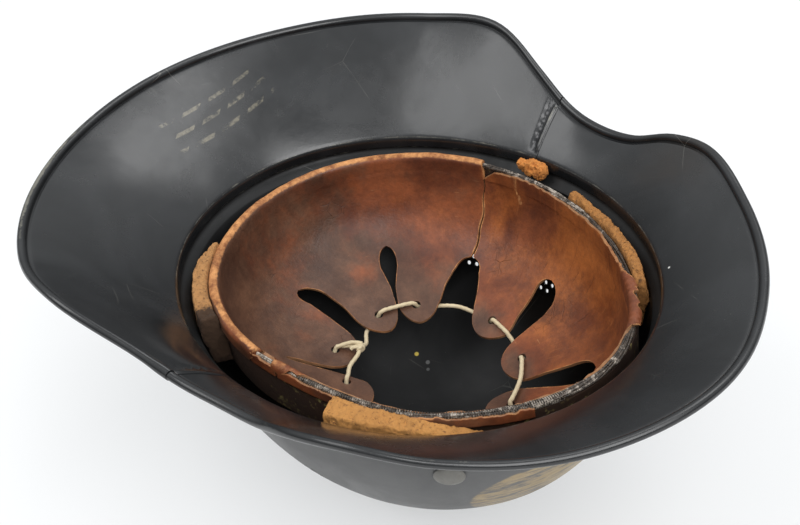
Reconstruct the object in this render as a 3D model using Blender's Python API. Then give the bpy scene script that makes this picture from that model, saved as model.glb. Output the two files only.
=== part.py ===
"""Pressed-steel firefighter helmet with a laced leather liner, lying on its crown.

The origin is the flat spot of the crown that the helmet rests on. +X points to the front
(the visor), +Y to the wearer's right and +Z up, out of the open side. Lengths in this
file are in millimetres, and MM turns them into Blender's metres.
"""

import math

import bmesh
import bpy
import numpy as np
from mathutils import Vector

MM = 0.001
GAP = 0.3

# Steel shell: half-axes of the dome's mouth at the inner lip, and its height over the crown.
MOUTH_FRONT = 111.5
MOUTH_REAR = 113.0
MOUTH_SIDE = 92.7
LIP_HEIGHT = 110.5
LIP_RADIUS = 4.0
SHEET = 1.0
COLLAR_BOTTOM = 103.5
BEND_RUNS = (3.0, 4.8, 6.6, 9.0)
FLARE = math.radians(8.0)

# Dome: half-axes are WALL_INSET less than the mouth's, and it is part of an ellipsoid.
WALL_INSET = 2.5
DOME_RISE = 107.0
CROWN_FLAT = 0.18
WALL_SHARES = (CROWN_FLAT, 0.38, 0.56, 0.71, 0.83, 0.915, 0.967, 0.993)
LEDGE_BOTTOM = 97.0
FLANGE_END = 13.0

# Rim of the visor and the neck guard: angle from the front, radius, height over the crown.
RIM = (
    (0, 157.0, 128.5),
    (20, 150.0, 128.0),
    (40, 139.7, 132.5),
    (53, 133.0, 137.4),
    (63, 125.5, 133.5),
    (72, 117.5, 125.6),
    (82, 114.2, 123.5),
    (92, 116.6, 126.0),
    (102, 124.6, 136.0),
    (115, 142.8, 148.6),
    (130, 157.0, 146.5),
    (153, 168.0, 146.8),
    (180, 172.0, 148.5),
)
BEAD_HALF = 1.7
BEAD_WIDTH = 4.6
SHELL_STEP = 7.5

# The visor ends at VISOR_END, and from there a strip goes on under the neck guard's end:
# angle, and lift of the upper and lower side, of each of its sections.
VISOR_END = 94.1
GUARD_START = 94.4
LAP_SECTIONS = (
    (92.8, 0.1, SHEET - 0.1),
    (94.1, 0.1, SHEET + GAP),
    (94.3, SHEET + GAP, 2 * SHEET + GAP),
    (97.5, SHEET + GAP, 2 * SHEET + GAP),
)
LAP_START = 15.5
LAP_RIM_GAP = 8.0

# Vent rosettes: angle from the front and height of each centre, seven holes in each.
VENT_ANGLES = (84.0, 116.0)
VENT_HEIGHT = 50.5
VENT_PITCH = 4.2
VENT_RADIUS = 1.1

# Liner: an egg-shaped oval, drawn at the mean radius LINER_MEAN of its section. Where the
# liner is wider than LEAN_START it has leaned over to the wearer's right.
LINER_FRONT = 111.0
LINER_REAR = 91.0
LINER_SIDE = 82.0
LINER_SHIFT = -10.0
LINER_MEAN = 95.0
LINER_LEAN = 2.0
LEAN_START = 45.0
LINER_STEP = 9.0
# Between its pins the old ring has sunk in on the left and bulged at the front: liner
# angle and distance in. It fades out towards the tongues, from SUNK_FULL to SUNK_START.
SUNK = (
    (-180.0, 2.0),
    (-165.0, 2.6),
    (-150.0, 3.0),
    (-130.0, 3.2),
    (-115.0, 4.3),
    (-100.0, 5.5),
    (-85.0, 6.2),
    (-75.0, 5.2),
    (-65.0, 3.4),
    (-55.0, 1.1),
    (-47.0, 0.0),
    (-38.0, 0.0),
    (-25.0, -0.8),
    (-12.0, -2.0),
    (5.0, -2.6),
    (20.0, -2.3),
    (30.0, -1.2),
    (38.0, -0.1),
    (41.0, 0.0),
    (120.0, 0.0),
    (150.0, 0.7),
    (165.0, 1.2),
    (180.0, 2.0),
)
SUNK_START = 66.0
SUNK_FULL = 90.0
LEATHER = 1.3
# The leather from hem to tongue tips: run along the surface, mean radius, height.
LEATHER_LINE = (
    (0.0, 91.8, 104.0),
    (16.0, 90.8, 87.5),
    (31.0, 84.8, 73.0),
    (45.0, 72.4, 62.5),
    (59.0, 57.0, 55.0),
    (71.0, 44.7, 50.0),
    (79.0, 36.5, 47.5),
    (88.0, 27.5, 46.0),
)
BAND_END = 37.0
TIP_END = 79.0
TIP_ROUND = 13.0
CORE_RADIUS = 1.6
CORE_MEAN = 94.3
CORE_HEIGHT = 102.4
FOLD_END = 98.0
HOOP_IN = 93.7
HOOP_OUT = 94.9
HOOP_LOW = 79.5
HOOP_TOP = 100.4

# Slots between the tongues: run of the round top, angle there, then angles and half-widths
# in degrees at SLOT_RUNS.
SLOT_RUNS = (52.0, 60.0, 70.0)
SLOTS = (
    (39.4, 25.2, (24.6, 24.3, 22.6), (6.0, 5.2, 3.4)),
    (39.2, 70.0, (66.5, 65.0, 61.6), (5.1, 4.6, 3.0)),
    (46.2, 104.3, (105.0, 105.2, 104.5), (6.2, 9.6, 12.5)),
    (43.0, 142.6, (143.8, 144.9, 146.4), (4.1, 1.4, 0.5)),
    (44.5, 189.8, (185.6, 184.0, 184.2), (5.2, 6.0, 5.6)),
    (50.5, 230.0, (230.0, 230.0, 230.0), (1.2, 1.2, 2.5)),
    (41.0, 279.0, (279.0, 279.0, 279.0), (5.0, 4.6, 4.0)),
    (41.0, 340.0, (340.0, 340.0, 340.0), (5.5, 5.3, 5.0)),
)
SLOT_ROUND = 8.0
# Worn leather has stretched some tips further in: angles, and how much further they reach.
REACH_ANGLES = (0.0, 100.0, 133.0, 162.0, 185.0, 210.0, 228.0, 243.0, 262.0, 279.0, 300.0)
TIP_REACH = (0.0, 0.0, 3.5, 4.5, 4.0, 2.5, 3.0, 7.5, 6.0, 3.0, 0.0)
REACH_START = 50.0
REACH_FULL = 70.0
TONGUE_STATIONS = (BAND_END + GAP, 38.2, 39.6, 41.5, 43.4, 45.0, 46.8, 49.0, 51.5, 55.0)
TONGUE_STATIONS += (60.0, 65.5, 70.5, 75.0, 77.8, TIP_END)
TONGUE_COLUMNS = 5

# Lace: through one hole near each tip, over and under the tongues, tied in one knot.
HOLE_ANGLES = (3.5, 44.5, 78.5, 133.0, 162.0, 210.5, 242.0, 300.0)
HOLE_RUN = 69.0
HOLE_RADIUS = 2.9
LACE_RADIUS = 1.15
KNOT_RADIUS = 2.7
KNOT_STOP = 6
# Route of the lace: angle, run and lift over the leather, from under tongue 6 and round.
LACE_ROUTE = (
    (216.0, 69.0, -2.4),
    (212.0, 69.0, -2.0),
    (210.5, 69.0, 0.0),
    (209.0, 69.3, 2.0),
    (206.0, 72.0, 2.6),
    (204.0, 75.5, 3.2),
    (203.0, 79.0, 3.7),
    (213.0, 79.5, 3.3),
    (227.0, 76.0, 2.9),
    (237.0, 71.5, 2.5),
    (240.5, 69.5, 2.0),
    (242.0, 69.0, 0.0),
    (243.5, 69.0, -2.0),
    (248.0, 69.0, -2.5),
    (260.0, 69.0, -2.5),
    (273.5, 69.0, -2.6),
    (279.0, 69.0, 0.0),
    (284.5, 69.0, 2.6),
    (294.0, 69.0, 2.4),
    (298.5, 69.0, 2.0),
    (300.0, 69.0, 0.0),
    (301.5, 69.0, -2.0),
    (306.0, 69.0, -2.4),
    (322.0, 69.0, -2.4),
    (340.0, 69.0, -2.6),
    (354.0, 69.0, -2.4),
    (360.0, 69.0, -2.4),
    (362.4, 69.0, -2.0),
    (363.5, 69.0, 0.0),
    (364.6, 69.0, 2.0),
    (368.0, 69.0, 2.4),
    (384.0, 69.5, 2.6),
    (399.0, 69.0, 2.4),
    (403.0, 69.0, 2.0),
    (404.5, 69.0, 0.0),
    (406.0, 69.0, -2.0),
    (411.0, 69.0, -2.4),
    (417.9, 69.0, -2.5),
    (421.6, 69.0, 0.0),
    (425.3, 69.0, 2.5),
    (434.5, 69.0, 2.4),
    (437.0, 69.0, 2.0),
    (438.5, 69.0, 0.0),
    (440.0, 69.0, -2.0),
    (444.0, 69.0, -2.4),
    (465.0, 68.5, -2.5),
    (486.0, 69.0, -2.4),
    (491.4, 69.0, -2.0),
    (493.0, 69.0, 0.0),
    (494.6, 69.0, 2.0),
    (499.0, 69.0, 2.4),
    (508.0, 69.3, 2.6),
    (516.0, 69.0, 2.4),
    (520.4, 69.0, 2.0),
    (522.0, 69.0, 0.0),
    (523.6, 69.0, -2.0),
    (528.0, 69.6, -2.4),
    (538.0, 72.5, -2.5),
    (549.0, 77.5, -0.6),
    (561.0, 79.0, 3.4),
)

# Felt pads between hoop and dome: first and last angle from the front.
PADS = {
    "pad_front_left": (-68.0, -29.0),
    "pad_front_right": (31.0, 76.0),
    "pad_rear_left": (-157.0, -122.0),
}
PAD_LOW = 80.5
PAD_TOP = 105.5
PAD_STEP = 5.0
REMNANT_HEIGHT = 105.0

# Split pins that hold the liner: angle from the front.
PINS = {
    "liner_pin_front_left": -38.4,
    "liner_pin_front_right": 38.4,
    "liner_pin_rear": 180.0,
}
PIN_HEIGHT = 81.0
PIN_HEAD = 6.2
PIN_HEAD_RISE = 2.0
PIN_SHANK = 1.5
PIN_HOLE = 1.9
WASHER_RADIUS = 3.6
WASHER_THICK = 0.6
WASHER_STAND = 1.3
LEG_LENGTH = 3.4
LEG_THICK = 0.8

MATERIALS = {
    "shell_paint": ((0.035, 0.037, 0.040), 0.38, 0.4),
    "dome_paint": ((0.030, 0.031, 0.033), 0.42, 0.4),
    "leather": ((0.24, 0.085, 0.040), 0.55, 0.0),
    "fibre": ((0.060, 0.035, 0.025), 0.65, 0.0),
    "core": ((0.16, 0.15, 0.14), 0.45, 0.6),
    "lace": ((0.68, 0.56, 0.36), 0.80, 0.0),
    "felt": ((0.55, 0.33, 0.15), 0.95, 0.0),
    "pin_metal": ((0.20, 0.19, 0.17), 0.45, 0.7),
}


def clear_scene():
    for obj in list(bpy.data.objects):
        bpy.data.objects.remove(obj)


def material(slot):
    found = bpy.data.materials.get(slot)
    if found:
        return found
    colour, roughness, metallic = MATERIALS[slot]
    made = bpy.data.materials.new(slot)
    made.use_nodes = True
    shader = made.node_tree.nodes["Principled BSDF"]
    shader.inputs["Base Color"].default_value = (*colour, 1.0)
    shader.inputs["Roughness"].default_value = roughness
    shader.inputs["Metallic"].default_value = metallic
    return made


def add_object(name, mesh, slot):
    mesh.materials.append(material(slot))
    obj = bpy.data.objects.new(name, mesh)
    bpy.context.scene.collection.objects.link(obj)
    return obj


def loft(name, loops, slot, wrap=False, sharp=35.0):
    """One closed body through loops of points (mm): wrapped round, or with both ends capped."""
    work = bmesh.new()
    rows = [[work.verts.new(Vector(point) * MM) for point in loop] for loop in loops]
    count = len(rows[0])
    pairs = list(zip(rows, rows[1:]))
    if wrap:
        pairs.append((rows[-1], rows[0]))
    for row, after in pairs:
        for i in range(count):
            j = (i + 1) % count
            work.faces.new((row[i], row[j], after[j], after[i]))
    if not wrap:
        work.faces.new(rows[0])
        work.faces.new(rows[-1])
    bmesh.ops.recalc_face_normals(work, faces=work.faces)
    mesh = bpy.data.meshes.new(name)
    work.to_mesh(mesh)
    work.free()
    mesh.shade_smooth()
    mesh.set_sharp_from_angle(angle=math.radians(sharp))
    return add_object(name, mesh, slot)


def combine(obj, other, operation):
    """Adds a Boolean with another object, which is kept as a hidden guide."""
    other.hide_render = True
    other.display_type = "WIRE"
    modifier = obj.modifiers.new(other.name, "BOOLEAN")
    modifier.operation = operation
    modifier.object = other
    modifier.solver = "EXACT"


def rod(name, place, axis, radius, low, high, sides=10):
    """A round cutter along axis, from low to high (mm) either side of place."""
    work = bmesh.new()
    bmesh.ops.create_cone(
        work,
        cap_ends=True,
        segments=sides,
        radius1=radius * MM,
        radius2=radius * MM,
        depth=(high - low) * MM,
    )
    bmesh.ops.translate(work, verts=work.verts, vec=(0, 0, (high + low) / 2 * MM))
    mesh = bpy.data.meshes.new(name)
    work.to_mesh(mesh)
    work.free()
    obj = add_object(name, mesh, "pin_metal")
    obj.location = Vector(place) * MM
    obj.rotation_mode = "QUATERNION"
    obj.rotation_quaternion = Vector(axis).to_track_quat("Z", "Y")
    return obj


def hermite(table, x, column):
    """A smooth value between the rows of a table, level at its first and last row."""
    xs = [row[0] for row in table]
    ys = [row[column] for row in table]
    last = len(table) - 1
    x = min(max(x, xs[0]), xs[-1])
    i = max(k for k in range(last) if xs[k] <= x)

    def slope(k):
        if k in (0, last):
            return 0.0
        return (ys[k + 1] - ys[k - 1]) / (xs[k + 1] - xs[k - 1])

    width = xs[i + 1] - xs[i]
    t = (x - xs[i]) / width
    start = (1 + 2 * t) * (1 - t) ** 2 * ys[i] + t * (1 - t) ** 2 * width * slope(i)
    return start + t * t * (3 - 2 * t) * ys[i + 1] + t * t * (t - 1) * width * slope(i + 1)


def polar(angle, radius, height):
    turn = math.radians(angle)
    return Vector((radius * math.cos(turn), radius * math.sin(turn), height))


def mouth_radius(angle, inset=0.0):
    """Radius of the mouth's oval, or of one set in from it, at an angle from the front."""
    turn = math.radians(angle)
    length = (MOUTH_FRONT if math.cos(turn) > 0 else MOUTH_REAR) - inset
    return 1 / math.hypot(math.cos(turn) / length, math.sin(turn) / (MOUTH_SIDE - inset))


def dome_point(angle, share, skin=0.0):
    """A point of the dome's outside, or skin millimetres inside it."""
    radius = mouth_radius(angle, WALL_INSET + skin) * share
    base = (DOME_RISE - skin) * (1 - math.sqrt(1 - share**2)) + skin
    flat = DOME_RISE * (1 - math.sqrt(1 - CROWN_FLAT**2))
    return radius, base - flat


def share_at(height, skin=0.0):
    """Share of the dome's radius that its wall has at a height."""
    flat = DOME_RISE * (1 - math.sqrt(1 - CROWN_FLAT**2))
    drop = 1 - (height + flat - skin) / (DOME_RISE - skin)
    return math.sqrt(1 - drop**2)


def skirt_line(angle):
    """The skirt's visible side in section, from the collar's free end to the rim."""
    mouth = mouth_radius(angle)
    rim = Vector((hermite(RIM, abs(angle), 1), hermite(RIM, abs(angle), 2)))
    bend_height = LIP_HEIGHT - LIP_RADIUS
    centre = Vector((mouth + LIP_RADIUS, bend_height))
    chord = rim - Vector((mouth + 2.0, LIP_HEIGHT - 1.0))
    rise = math.atan2(chord.y, chord.x) + FLARE
    line = [Vector((mouth, COLLAR_BOTTOM))]
    for k in range(6):
        turn = math.pi + (math.pi / 2 + rise - math.pi) * k / 5
        line.append(centre + LIP_RADIUS * Vector((math.cos(turn), math.sin(turn))))
    start = line[-1]
    reach = (rim - start).length
    pull = start + Vector((math.cos(rise), math.sin(rise))) * reach * 0.5
    for k in range(1, 15):
        t = k / 14
        line.append(start * (1 - t) ** 2 + pull * 2 * t * (1 - t) + rim * t**2)
    return line


def line_length(line):
    return sum((b - a).length for a, b in zip(line, line[1:]))


def along(line, run, lift):
    """The point at a run along a section line, lifted from it towards the open side."""
    last = len(line) - 2
    for k, (a, b) in enumerate(zip(line, line[1:])):
        step = (b - a).length
        if run <= step or k == last:
            heading = (b - a) / step
            return a + heading * run + Vector((-heading.y, heading.x)) * lift
        run -= step
    return line[-1]


def skirt_outline(length):
    """Section of a skirt as (run, lift) pairs: the visible side, the rolled rim, the back."""
    inner = [0.0, *BEND_RUNS, FLANGE_END]
    body_end = length - BEAD_WIDTH - 1.2
    inner += [FLANGE_END + (body_end - FLANGE_END) * k / 3 for k in (1, 2, 3)]
    bead_start = length - BEAD_WIDTH
    front = [(run, 0.0) for run in inner]
    bead = [
        (bead_start, BEAD_HALF * 0.7),
        (bead_start + 1.3, BEAD_HALF),
        (length - 1.2, BEAD_HALF * 0.9),
        (length, 0.0),
        (length - 1.2, -BEAD_HALF * 0.9 - SHEET / 2),
        (bead_start + 1.3, -BEAD_HALF - SHEET / 2),
    ]
    back = [(run, -SHEET) for run in reversed([*inner, bead_start - 0.2])]
    return front + bead + back


def skirt_section(angle):
    line = skirt_line(angle)
    outline = skirt_outline(line_length(line))
    flat = [along(line, run, lift) for run, lift in outline]
    return [polar(angle, point.x, point.y) for point in flat]


def lap_section(side, angle, upper, lower):
    """Section of the strip that a visor end pushes under the neck guard."""
    line = skirt_line(angle)
    end = line_length(line) - LAP_RIM_GAP
    runs = [LAP_START + (end - LAP_START) * k / 4 for k in range(5)]
    flat = [along(line, run, -upper) for run in runs]
    flat += [along(line, run, -lower) for run in reversed(runs)]
    return [polar(side * angle, point.x, point.y) for point in flat]


def shell_angles(first, last):
    """Angles of the shell's sections from first to last, kept in line on all its pieces."""
    inner = [SHELL_STEP * k for k in range(round(180 / SHELL_STEP) + 1)]
    return [first, *(angle for angle in inner if first < angle < last), last]


def make_visor():
    angles = shell_angles(0.0, VISOR_END)
    right = [skirt_section(angle) for angle in angles]
    left = [skirt_section(-angle) for angle in angles[1:]]
    visor = loft("front_visor", [*reversed(left), *right], "shell_paint")
    for side in (1, -1):
        sections = [lap_section(side, *section) for section in LAP_SECTIONS]
        combine(visor, loft(f"lap_strip_{side}", sections, "shell_paint"), "UNION")
    return visor


def make_guard():
    angles = shell_angles(GUARD_START, 180.0)
    right = [skirt_section(angle) for angle in angles]
    left = [skirt_section(-angle) for angle in angles[:-1]]
    return loft("rear_neck_guard", [*right, *reversed(left)], "shell_paint")


def crown_rings():
    """Rings of the dome, as functions of the angle: outside, flange edge, inside."""

    def outside(share):
        return lambda angle: dome_point(angle, share)

    def inside(share):
        return lambda angle: dome_point(angle, share, SHEET)

    def by_mouth(offset, height):
        return lambda angle: (mouth_radius(angle) + offset, height)

    def by_skirt(run, lift):
        return lambda angle: tuple(along(skirt_line(angle), run, lift))

    back = -SHEET - GAP
    face = back - SHEET
    rings = [outside(share) for share in WALL_SHARES]
    rings += [by_mouth(-WALL_INSET, LEDGE_BOTTOM), by_mouth(0.4, LEDGE_BOTTOM + 2.0)]
    rings += [by_mouth(2.6, LEDGE_BOTTOM + 4.3), by_mouth(2.6, 106.0)]
    rings += [by_skirt(BEND_RUNS[-1], face), by_skirt(FLANGE_END, face)]
    rings += [by_skirt(run, back) for run in (FLANGE_END, *reversed(BEND_RUNS))]
    rings += [by_mouth(1.3, 102.2), by_mouth(-0.6, LEDGE_BOTTOM + 3.0)]
    rings += [by_mouth(-WALL_INSET - SHEET, LEDGE_BOTTOM + 0.8)]
    rings += [inside(share) for share in reversed(WALL_SHARES)]
    return rings


def make_crown():
    half = sorted([*shell_angles(0.0, 180.0), VISOR_END, GUARD_START])
    angles = [*half, *(-angle for angle in reversed(half[1:-1]))]
    loops = [[polar(angle, *ring(angle)) for angle in angles] for ring in crown_rings()]
    crown = loft("crown_shell", loops, "dome_paint")
    for side in (1, -1):
        for angle in VENT_ANGLES:
            drill_rosette(crown, side * angle)
    return crown


def wall_frame(angle, height):
    """A point on the dome's outside and the way out from it."""
    share = share_at(height)

    def place(turn, part):
        radius, z = dome_point(turn, part)
        return polar(turn, radius, z)

    sideways = place(angle + 0.5, share) - place(angle - 0.5, share)
    upwards = place(angle, share + 0.002) - place(angle, share - 0.002)
    return place(angle, share), sideways.cross(upwards).normalized(), sideways.normalized()


def drill_rosette(crown, angle):
    centre, out, sideways = wall_frame(angle, VENT_HEIGHT)
    upwards = out.cross(sideways)
    for k in range(7):
        turn = math.radians(60 * k)
        arm = (sideways * math.cos(turn) + upwards * math.sin(turn)) * VENT_PITCH
        place = centre + (arm if k < 6 else Vector())
        name = f"vent_cutter_{angle:.0f}_{k}"
        combine(crown, rod(name, place, out, VENT_RADIUS, -6.0, 5.0, sides=6), "DIFFERENCE")


def liner_point(angle, mean, height):
    """A point of the liner: its oval scaled so that its mean radius is mean."""
    turn = math.radians(angle)
    share = min(max((mean - SUNK_START) / (SUNK_FULL - SUNK_START), 0.0), 1.0)
    mean -= share * hermite(SUNK, (angle + 180.0) % 360.0 - 180.0, 1)
    length = LINER_FRONT if math.cos(turn) > 0 else LINER_REAR
    oval = Vector((LINER_SHIFT + length * math.cos(turn), LINER_SIDE * math.sin(turn), 0))
    lean = LINER_LEAN * max(mean - LEAN_START, 0.0) / (LINER_MEAN - LEAN_START)
    return oval * (mean / LINER_MEAN) + Vector((0, lean, height))


def leather_section(run, lift):
    """Mean radius and height of a point of the leather, lifted towards the head."""
    ahead = Vector([hermite_open(LEATHER_LINE, run + 0.5, column) for column in (1, 2)])
    behind = Vector([hermite_open(LEATHER_LINE, run - 0.5, column) for column in (1, 2)])
    heading = (ahead - behind).normalized()
    return (ahead + behind) / 2 + Vector((heading.y, -heading.x)) * lift


def hermite_open(table, x, column):
    """Like hermite, but with the end slopes of the table's first and last steps."""
    first, second, last = table[0], table[1], table[-1]
    if x < first[0]:
        slope = (second[column] - first[column]) / (second[0] - first[0])
        return first[column] + (x - first[0]) * slope
    return hermite([row_before(first, second), *table, row_before(last, table[-2])], x, column)


def row_before(end, neighbour):
    return tuple(2 * a - b for a, b in zip(end, neighbour))


def leather_point(angle, run, lift):
    reach = float(np.interp(angle % 360.0, REACH_ANGLES, TIP_REACH))
    share = (run - REACH_START) / (REACH_FULL - REACH_START)
    mean, height = leather_section(run + reach * min(max(share, 0.0), 1.0), lift)
    return liner_point(angle, mean, height)


def sweep(name, section, slot, sharp=35.0):
    """One closed ring round the liner with a (mean radius, height) section."""
    steps = round(360 / LINER_STEP)
    loops = []
    for k in range(steps):
        loops.append([liner_point(LINER_STEP * k, mean, z) for mean, z in section])
    return loft(name, loops, slot, wrap=True, sharp=sharp)


def arc(centre, radius, first, last, count):
    points = []
    for k in range(count):
        turn = math.radians(first + (last - first) * k / (count - 1))
        points.append((centre[0] + radius * math.cos(turn), centre[1] + radius * math.sin(turn)))
    return points


def make_sweatband():
    """The leather from the tongues up to the hem, folded over the core."""
    runs = (BAND_END, 31.0, 24.0, 15.0, 5.0)
    core = (CORE_MEAN, CORE_HEIGHT)
    inner_radius = CORE_RADIUS + GAP
    outer_radius = inner_radius + LEATHER
    section = [tuple(leather_section(run, LEATHER / 2)) for run in runs]
    section += arc(core, outer_radius, 180, 0, 6)
    section += [(CORE_MEAN + outer_radius, FOLD_END), (CORE_MEAN + inner_radius, FOLD_END)]
    section += arc(core, inner_radius, 0, 180, 5)
    section += [tuple(leather_section(run, -LEATHER / 2)) for run in reversed(runs)]
    return sweep("sweatband", section, "leather")


def make_hoop():
    section = [
        (HOOP_IN, HOOP_LOW),
        (HOOP_IN, HOOP_TOP),
        (HOOP_OUT, HOOP_TOP),
        (HOOP_OUT, HOOP_LOW),
    ]
    return sweep("liner_hoop", section, "fibre")


def make_core():
    section = arc((CORE_MEAN, CORE_HEIGHT), CORE_RADIUS, 0, 315, 8)
    return sweep("hem_core", section, "core", sharp=60.0)


def slot_side(slot, run, side):
    """Angle of a slot's edge at a run: a slit, then a round top, then the sides."""
    top, top_angle, angles, halves = slot
    slit = 0.3
    middle = float(np.interp(run, (top, *SLOT_RUNS), (top_angle, *angles)))
    if run <= top:
        return middle + side * slit
    opening = min((run - top) / SLOT_ROUND, 1.0)
    wide = float(np.interp(run, SLOT_RUNS, halves))
    return middle + side * (slit + (wide - slit) * math.sqrt(1 - (1 - opening) ** 2))


def tongue_edges(number, run):
    """First and last angle of a tongue at a run."""
    first = slot_side(SLOTS[number - 1], run, 1) - (360.0 if number == 0 else 0.0)
    last = slot_side(SLOTS[number], run, -1)
    start = TIP_END - TIP_ROUND
    if run > start:
        squeeze = math.sqrt(max(1 - ((run - start) / TIP_ROUND) ** 2, 0.0))
        middle = (first + last) / 2
        half = (last - first) / 2 * max(squeeze, 0.12)
        first, last = middle - half, middle + half
    return first, last


def make_tongue(number):
    loops = []
    for run in TONGUE_STATIONS:
        first, last = tongue_edges(number, run)
        angles = [first + (last - first) * k / TONGUE_COLUMNS for k in range(TONGUE_COLUMNS + 1)]
        top = [leather_point(angle, run, LEATHER / 2) for angle in angles]
        bottom = [leather_point(angle, run, -LEATHER / 2) for angle in reversed(angles)]
        loops.append(top + bottom)
    tongue = loft(f"liner_tongue_{number + 1}", loops, "leather")
    angle = HOLE_ANGLES[number]
    place = leather_point(angle, HOLE_RUN, 0.0)
    out = leather_point(angle, HOLE_RUN, 1.0) - place
    cutter = rod(f"lace_hole_cutter_{number + 1}", place, out, HOLE_RADIUS, -3.0, 3.0, sides=8)
    combine(tongue, cutter, "DIFFERENCE")
    return tongue


def smooth_route(points, steps):
    """Points on one smooth curve through the given ones."""
    ends = [points[0] * 2 - points[1], *points, points[-1] * 2 - points[-2]]
    route = []
    for a, b, c, d in zip(ends, ends[1:], ends[2:], ends[3:]):
        for k in range(steps):
            t = k / steps
            bend = (2 * a - 5 * b + 4 * c - d) * t**2 + (3 * b - a - 3 * c + d) * t**3
            route.append((2 * b + (c - a) * t + bend) / 2)
    return [*route, points[-1]]


def make_lace():
    """The lace as a tube through the eight holes, with its knot added on."""
    points = smooth_route([leather_point(*stop) for stop in LACE_ROUTE], 1)
    curve = bpy.data.curves.new("crown_lace", "CURVE")
    curve.dimensions = "3D"
    curve.bevel_depth = LACE_RADIUS * MM
    curve.bevel_resolution = 2
    curve.use_fill_caps = True
    spline = curve.splines.new("POLY")
    spline.points.add(len(points) - 1)
    for target, point in zip(spline.points, points):
        target.co = (*(point * MM), 1.0)
    guide = bpy.data.objects.new("lace_guide", curve)
    bpy.context.scene.collection.objects.link(guide)
    mesh = bpy.data.meshes.new_from_object(guide)
    bpy.data.objects.remove(guide)
    mesh.name = "crown_lace"
    mesh.materials.clear()
    lace = add_object("crown_lace", mesh, "lace")
    work = bmesh.new()
    bmesh.ops.create_icosphere(work, subdivisions=2, radius=KNOT_RADIUS * MM)
    ball = bpy.data.meshes.new("lace_knot")
    work.to_mesh(ball)
    work.free()
    knot = add_object("lace_knot", ball, "lace")
    knot.location = leather_point(*LACE_ROUTE[KNOT_STOP]) * MM
    combine(lace, knot, "UNION")
    return lace


def liner_angle(angle):
    """The liner's own angle at which it crosses a plain angle from the front."""
    low, high = angle - 25.0, angle + 25.0
    for _ in range(40):
        middle = (low + high) / 2
        point = liner_point(middle, LINER_MEAN, 0.0)
        found = math.degrees(math.atan2(point.y, point.x))
        found += 360.0 * round((middle - found) / 360.0)
        if found < angle:
            low = middle
        else:
            high = middle
    return (low + high) / 2


def pad_section(angle):
    """Section of a felt pad at an angle from the front: hoop side, then dome side."""

    def hoop_side(mean, height):
        return liner_point(liner_angle(angle), mean, height)

    def dome_side(height, clearance):
        share = share_at(height, SHEET)
        radius = mouth_radius(angle, WALL_INSET + SHEET) * share - clearance
        return polar(angle, radius, height)

    fold = CORE_MEAN + CORE_RADIUS + GAP + LEATHER + 0.5
    return [
        hoop_side(HOOP_OUT + 0.5, PAD_LOW),
        hoop_side(HOOP_OUT + 0.5, FOLD_END - 1.5),
        hoop_side(fold, FOLD_END - 0.2),
        hoop_side(fold, PAD_TOP - 1.0),
        hoop_side(fold + 0.8, PAD_TOP),
        dome_side(LEDGE_BOTTOM, 1.8) + Vector((0, 0, PAD_TOP - 0.6 - LEDGE_BOTTOM)),
        dome_side(LEDGE_BOTTOM, 0.7),
        dome_side(88.0, 0.7),
        dome_side(PAD_LOW, 0.7),
    ]


def make_pad(name, first, last):
    steps = round((last - first) / PAD_STEP)
    angles = [first + (last - first) * k / steps for k in range(steps + 1)]
    return loft(name, [pad_section(angle) for angle in angles], "felt")


def make_remnant():
    """The crumbled rest of a fourth pad, stuck in the corner under the lip."""
    loops = []
    for angle, size in ((89.0, 1.4), (91.0, 2.6), (94.0, 3.0), (97.0, 2.3), (99.5, 1.2)):
        radius = mouth_radius(angle) - 3.7
        loop = []
        for k in range(8):
            turn = math.radians(45 * k)
            reach = size * (1.0 + 0.12 * math.cos(3 * turn + angle))
            across = radius + 0.8 * reach * math.cos(turn)
            loop.append(polar(angle, across, REMNANT_HEIGHT + reach * math.sin(turn)))
        loops.append(loop)
    return loft("pad_remnant_right", loops, "felt", sharp=60.0)


def lathe(name, profile, slot, sides=16):
    """A turned piece round its own +Z: radius and height pairs, bottom to top."""
    loops = []
    for radius, height in profile:
        loop = []
        for k in range(sides):
            turn = 2 * math.pi * k / sides
            loop.append((radius * math.cos(turn), radius * math.sin(turn), height))
        loops.append(loop)
    return loft(name, loops, slot)


def pin_reach(place, out, mean):
    """Distance from the dome's outside to a surface of the liner hoop, along the pin."""
    low, high = 0.0, 30.0
    for _ in range(40):
        middle = (low + high) / 2
        point = place - out * middle
        angle = math.degrees(math.atan2(point.y, point.x))
        ring = liner_point(liner_angle(angle), mean, 0.0)
        if math.hypot(point.x, point.y) > math.hypot(ring.x, ring.y):
            low = middle
        else:
            high = middle
    return (low + high) / 2


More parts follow.
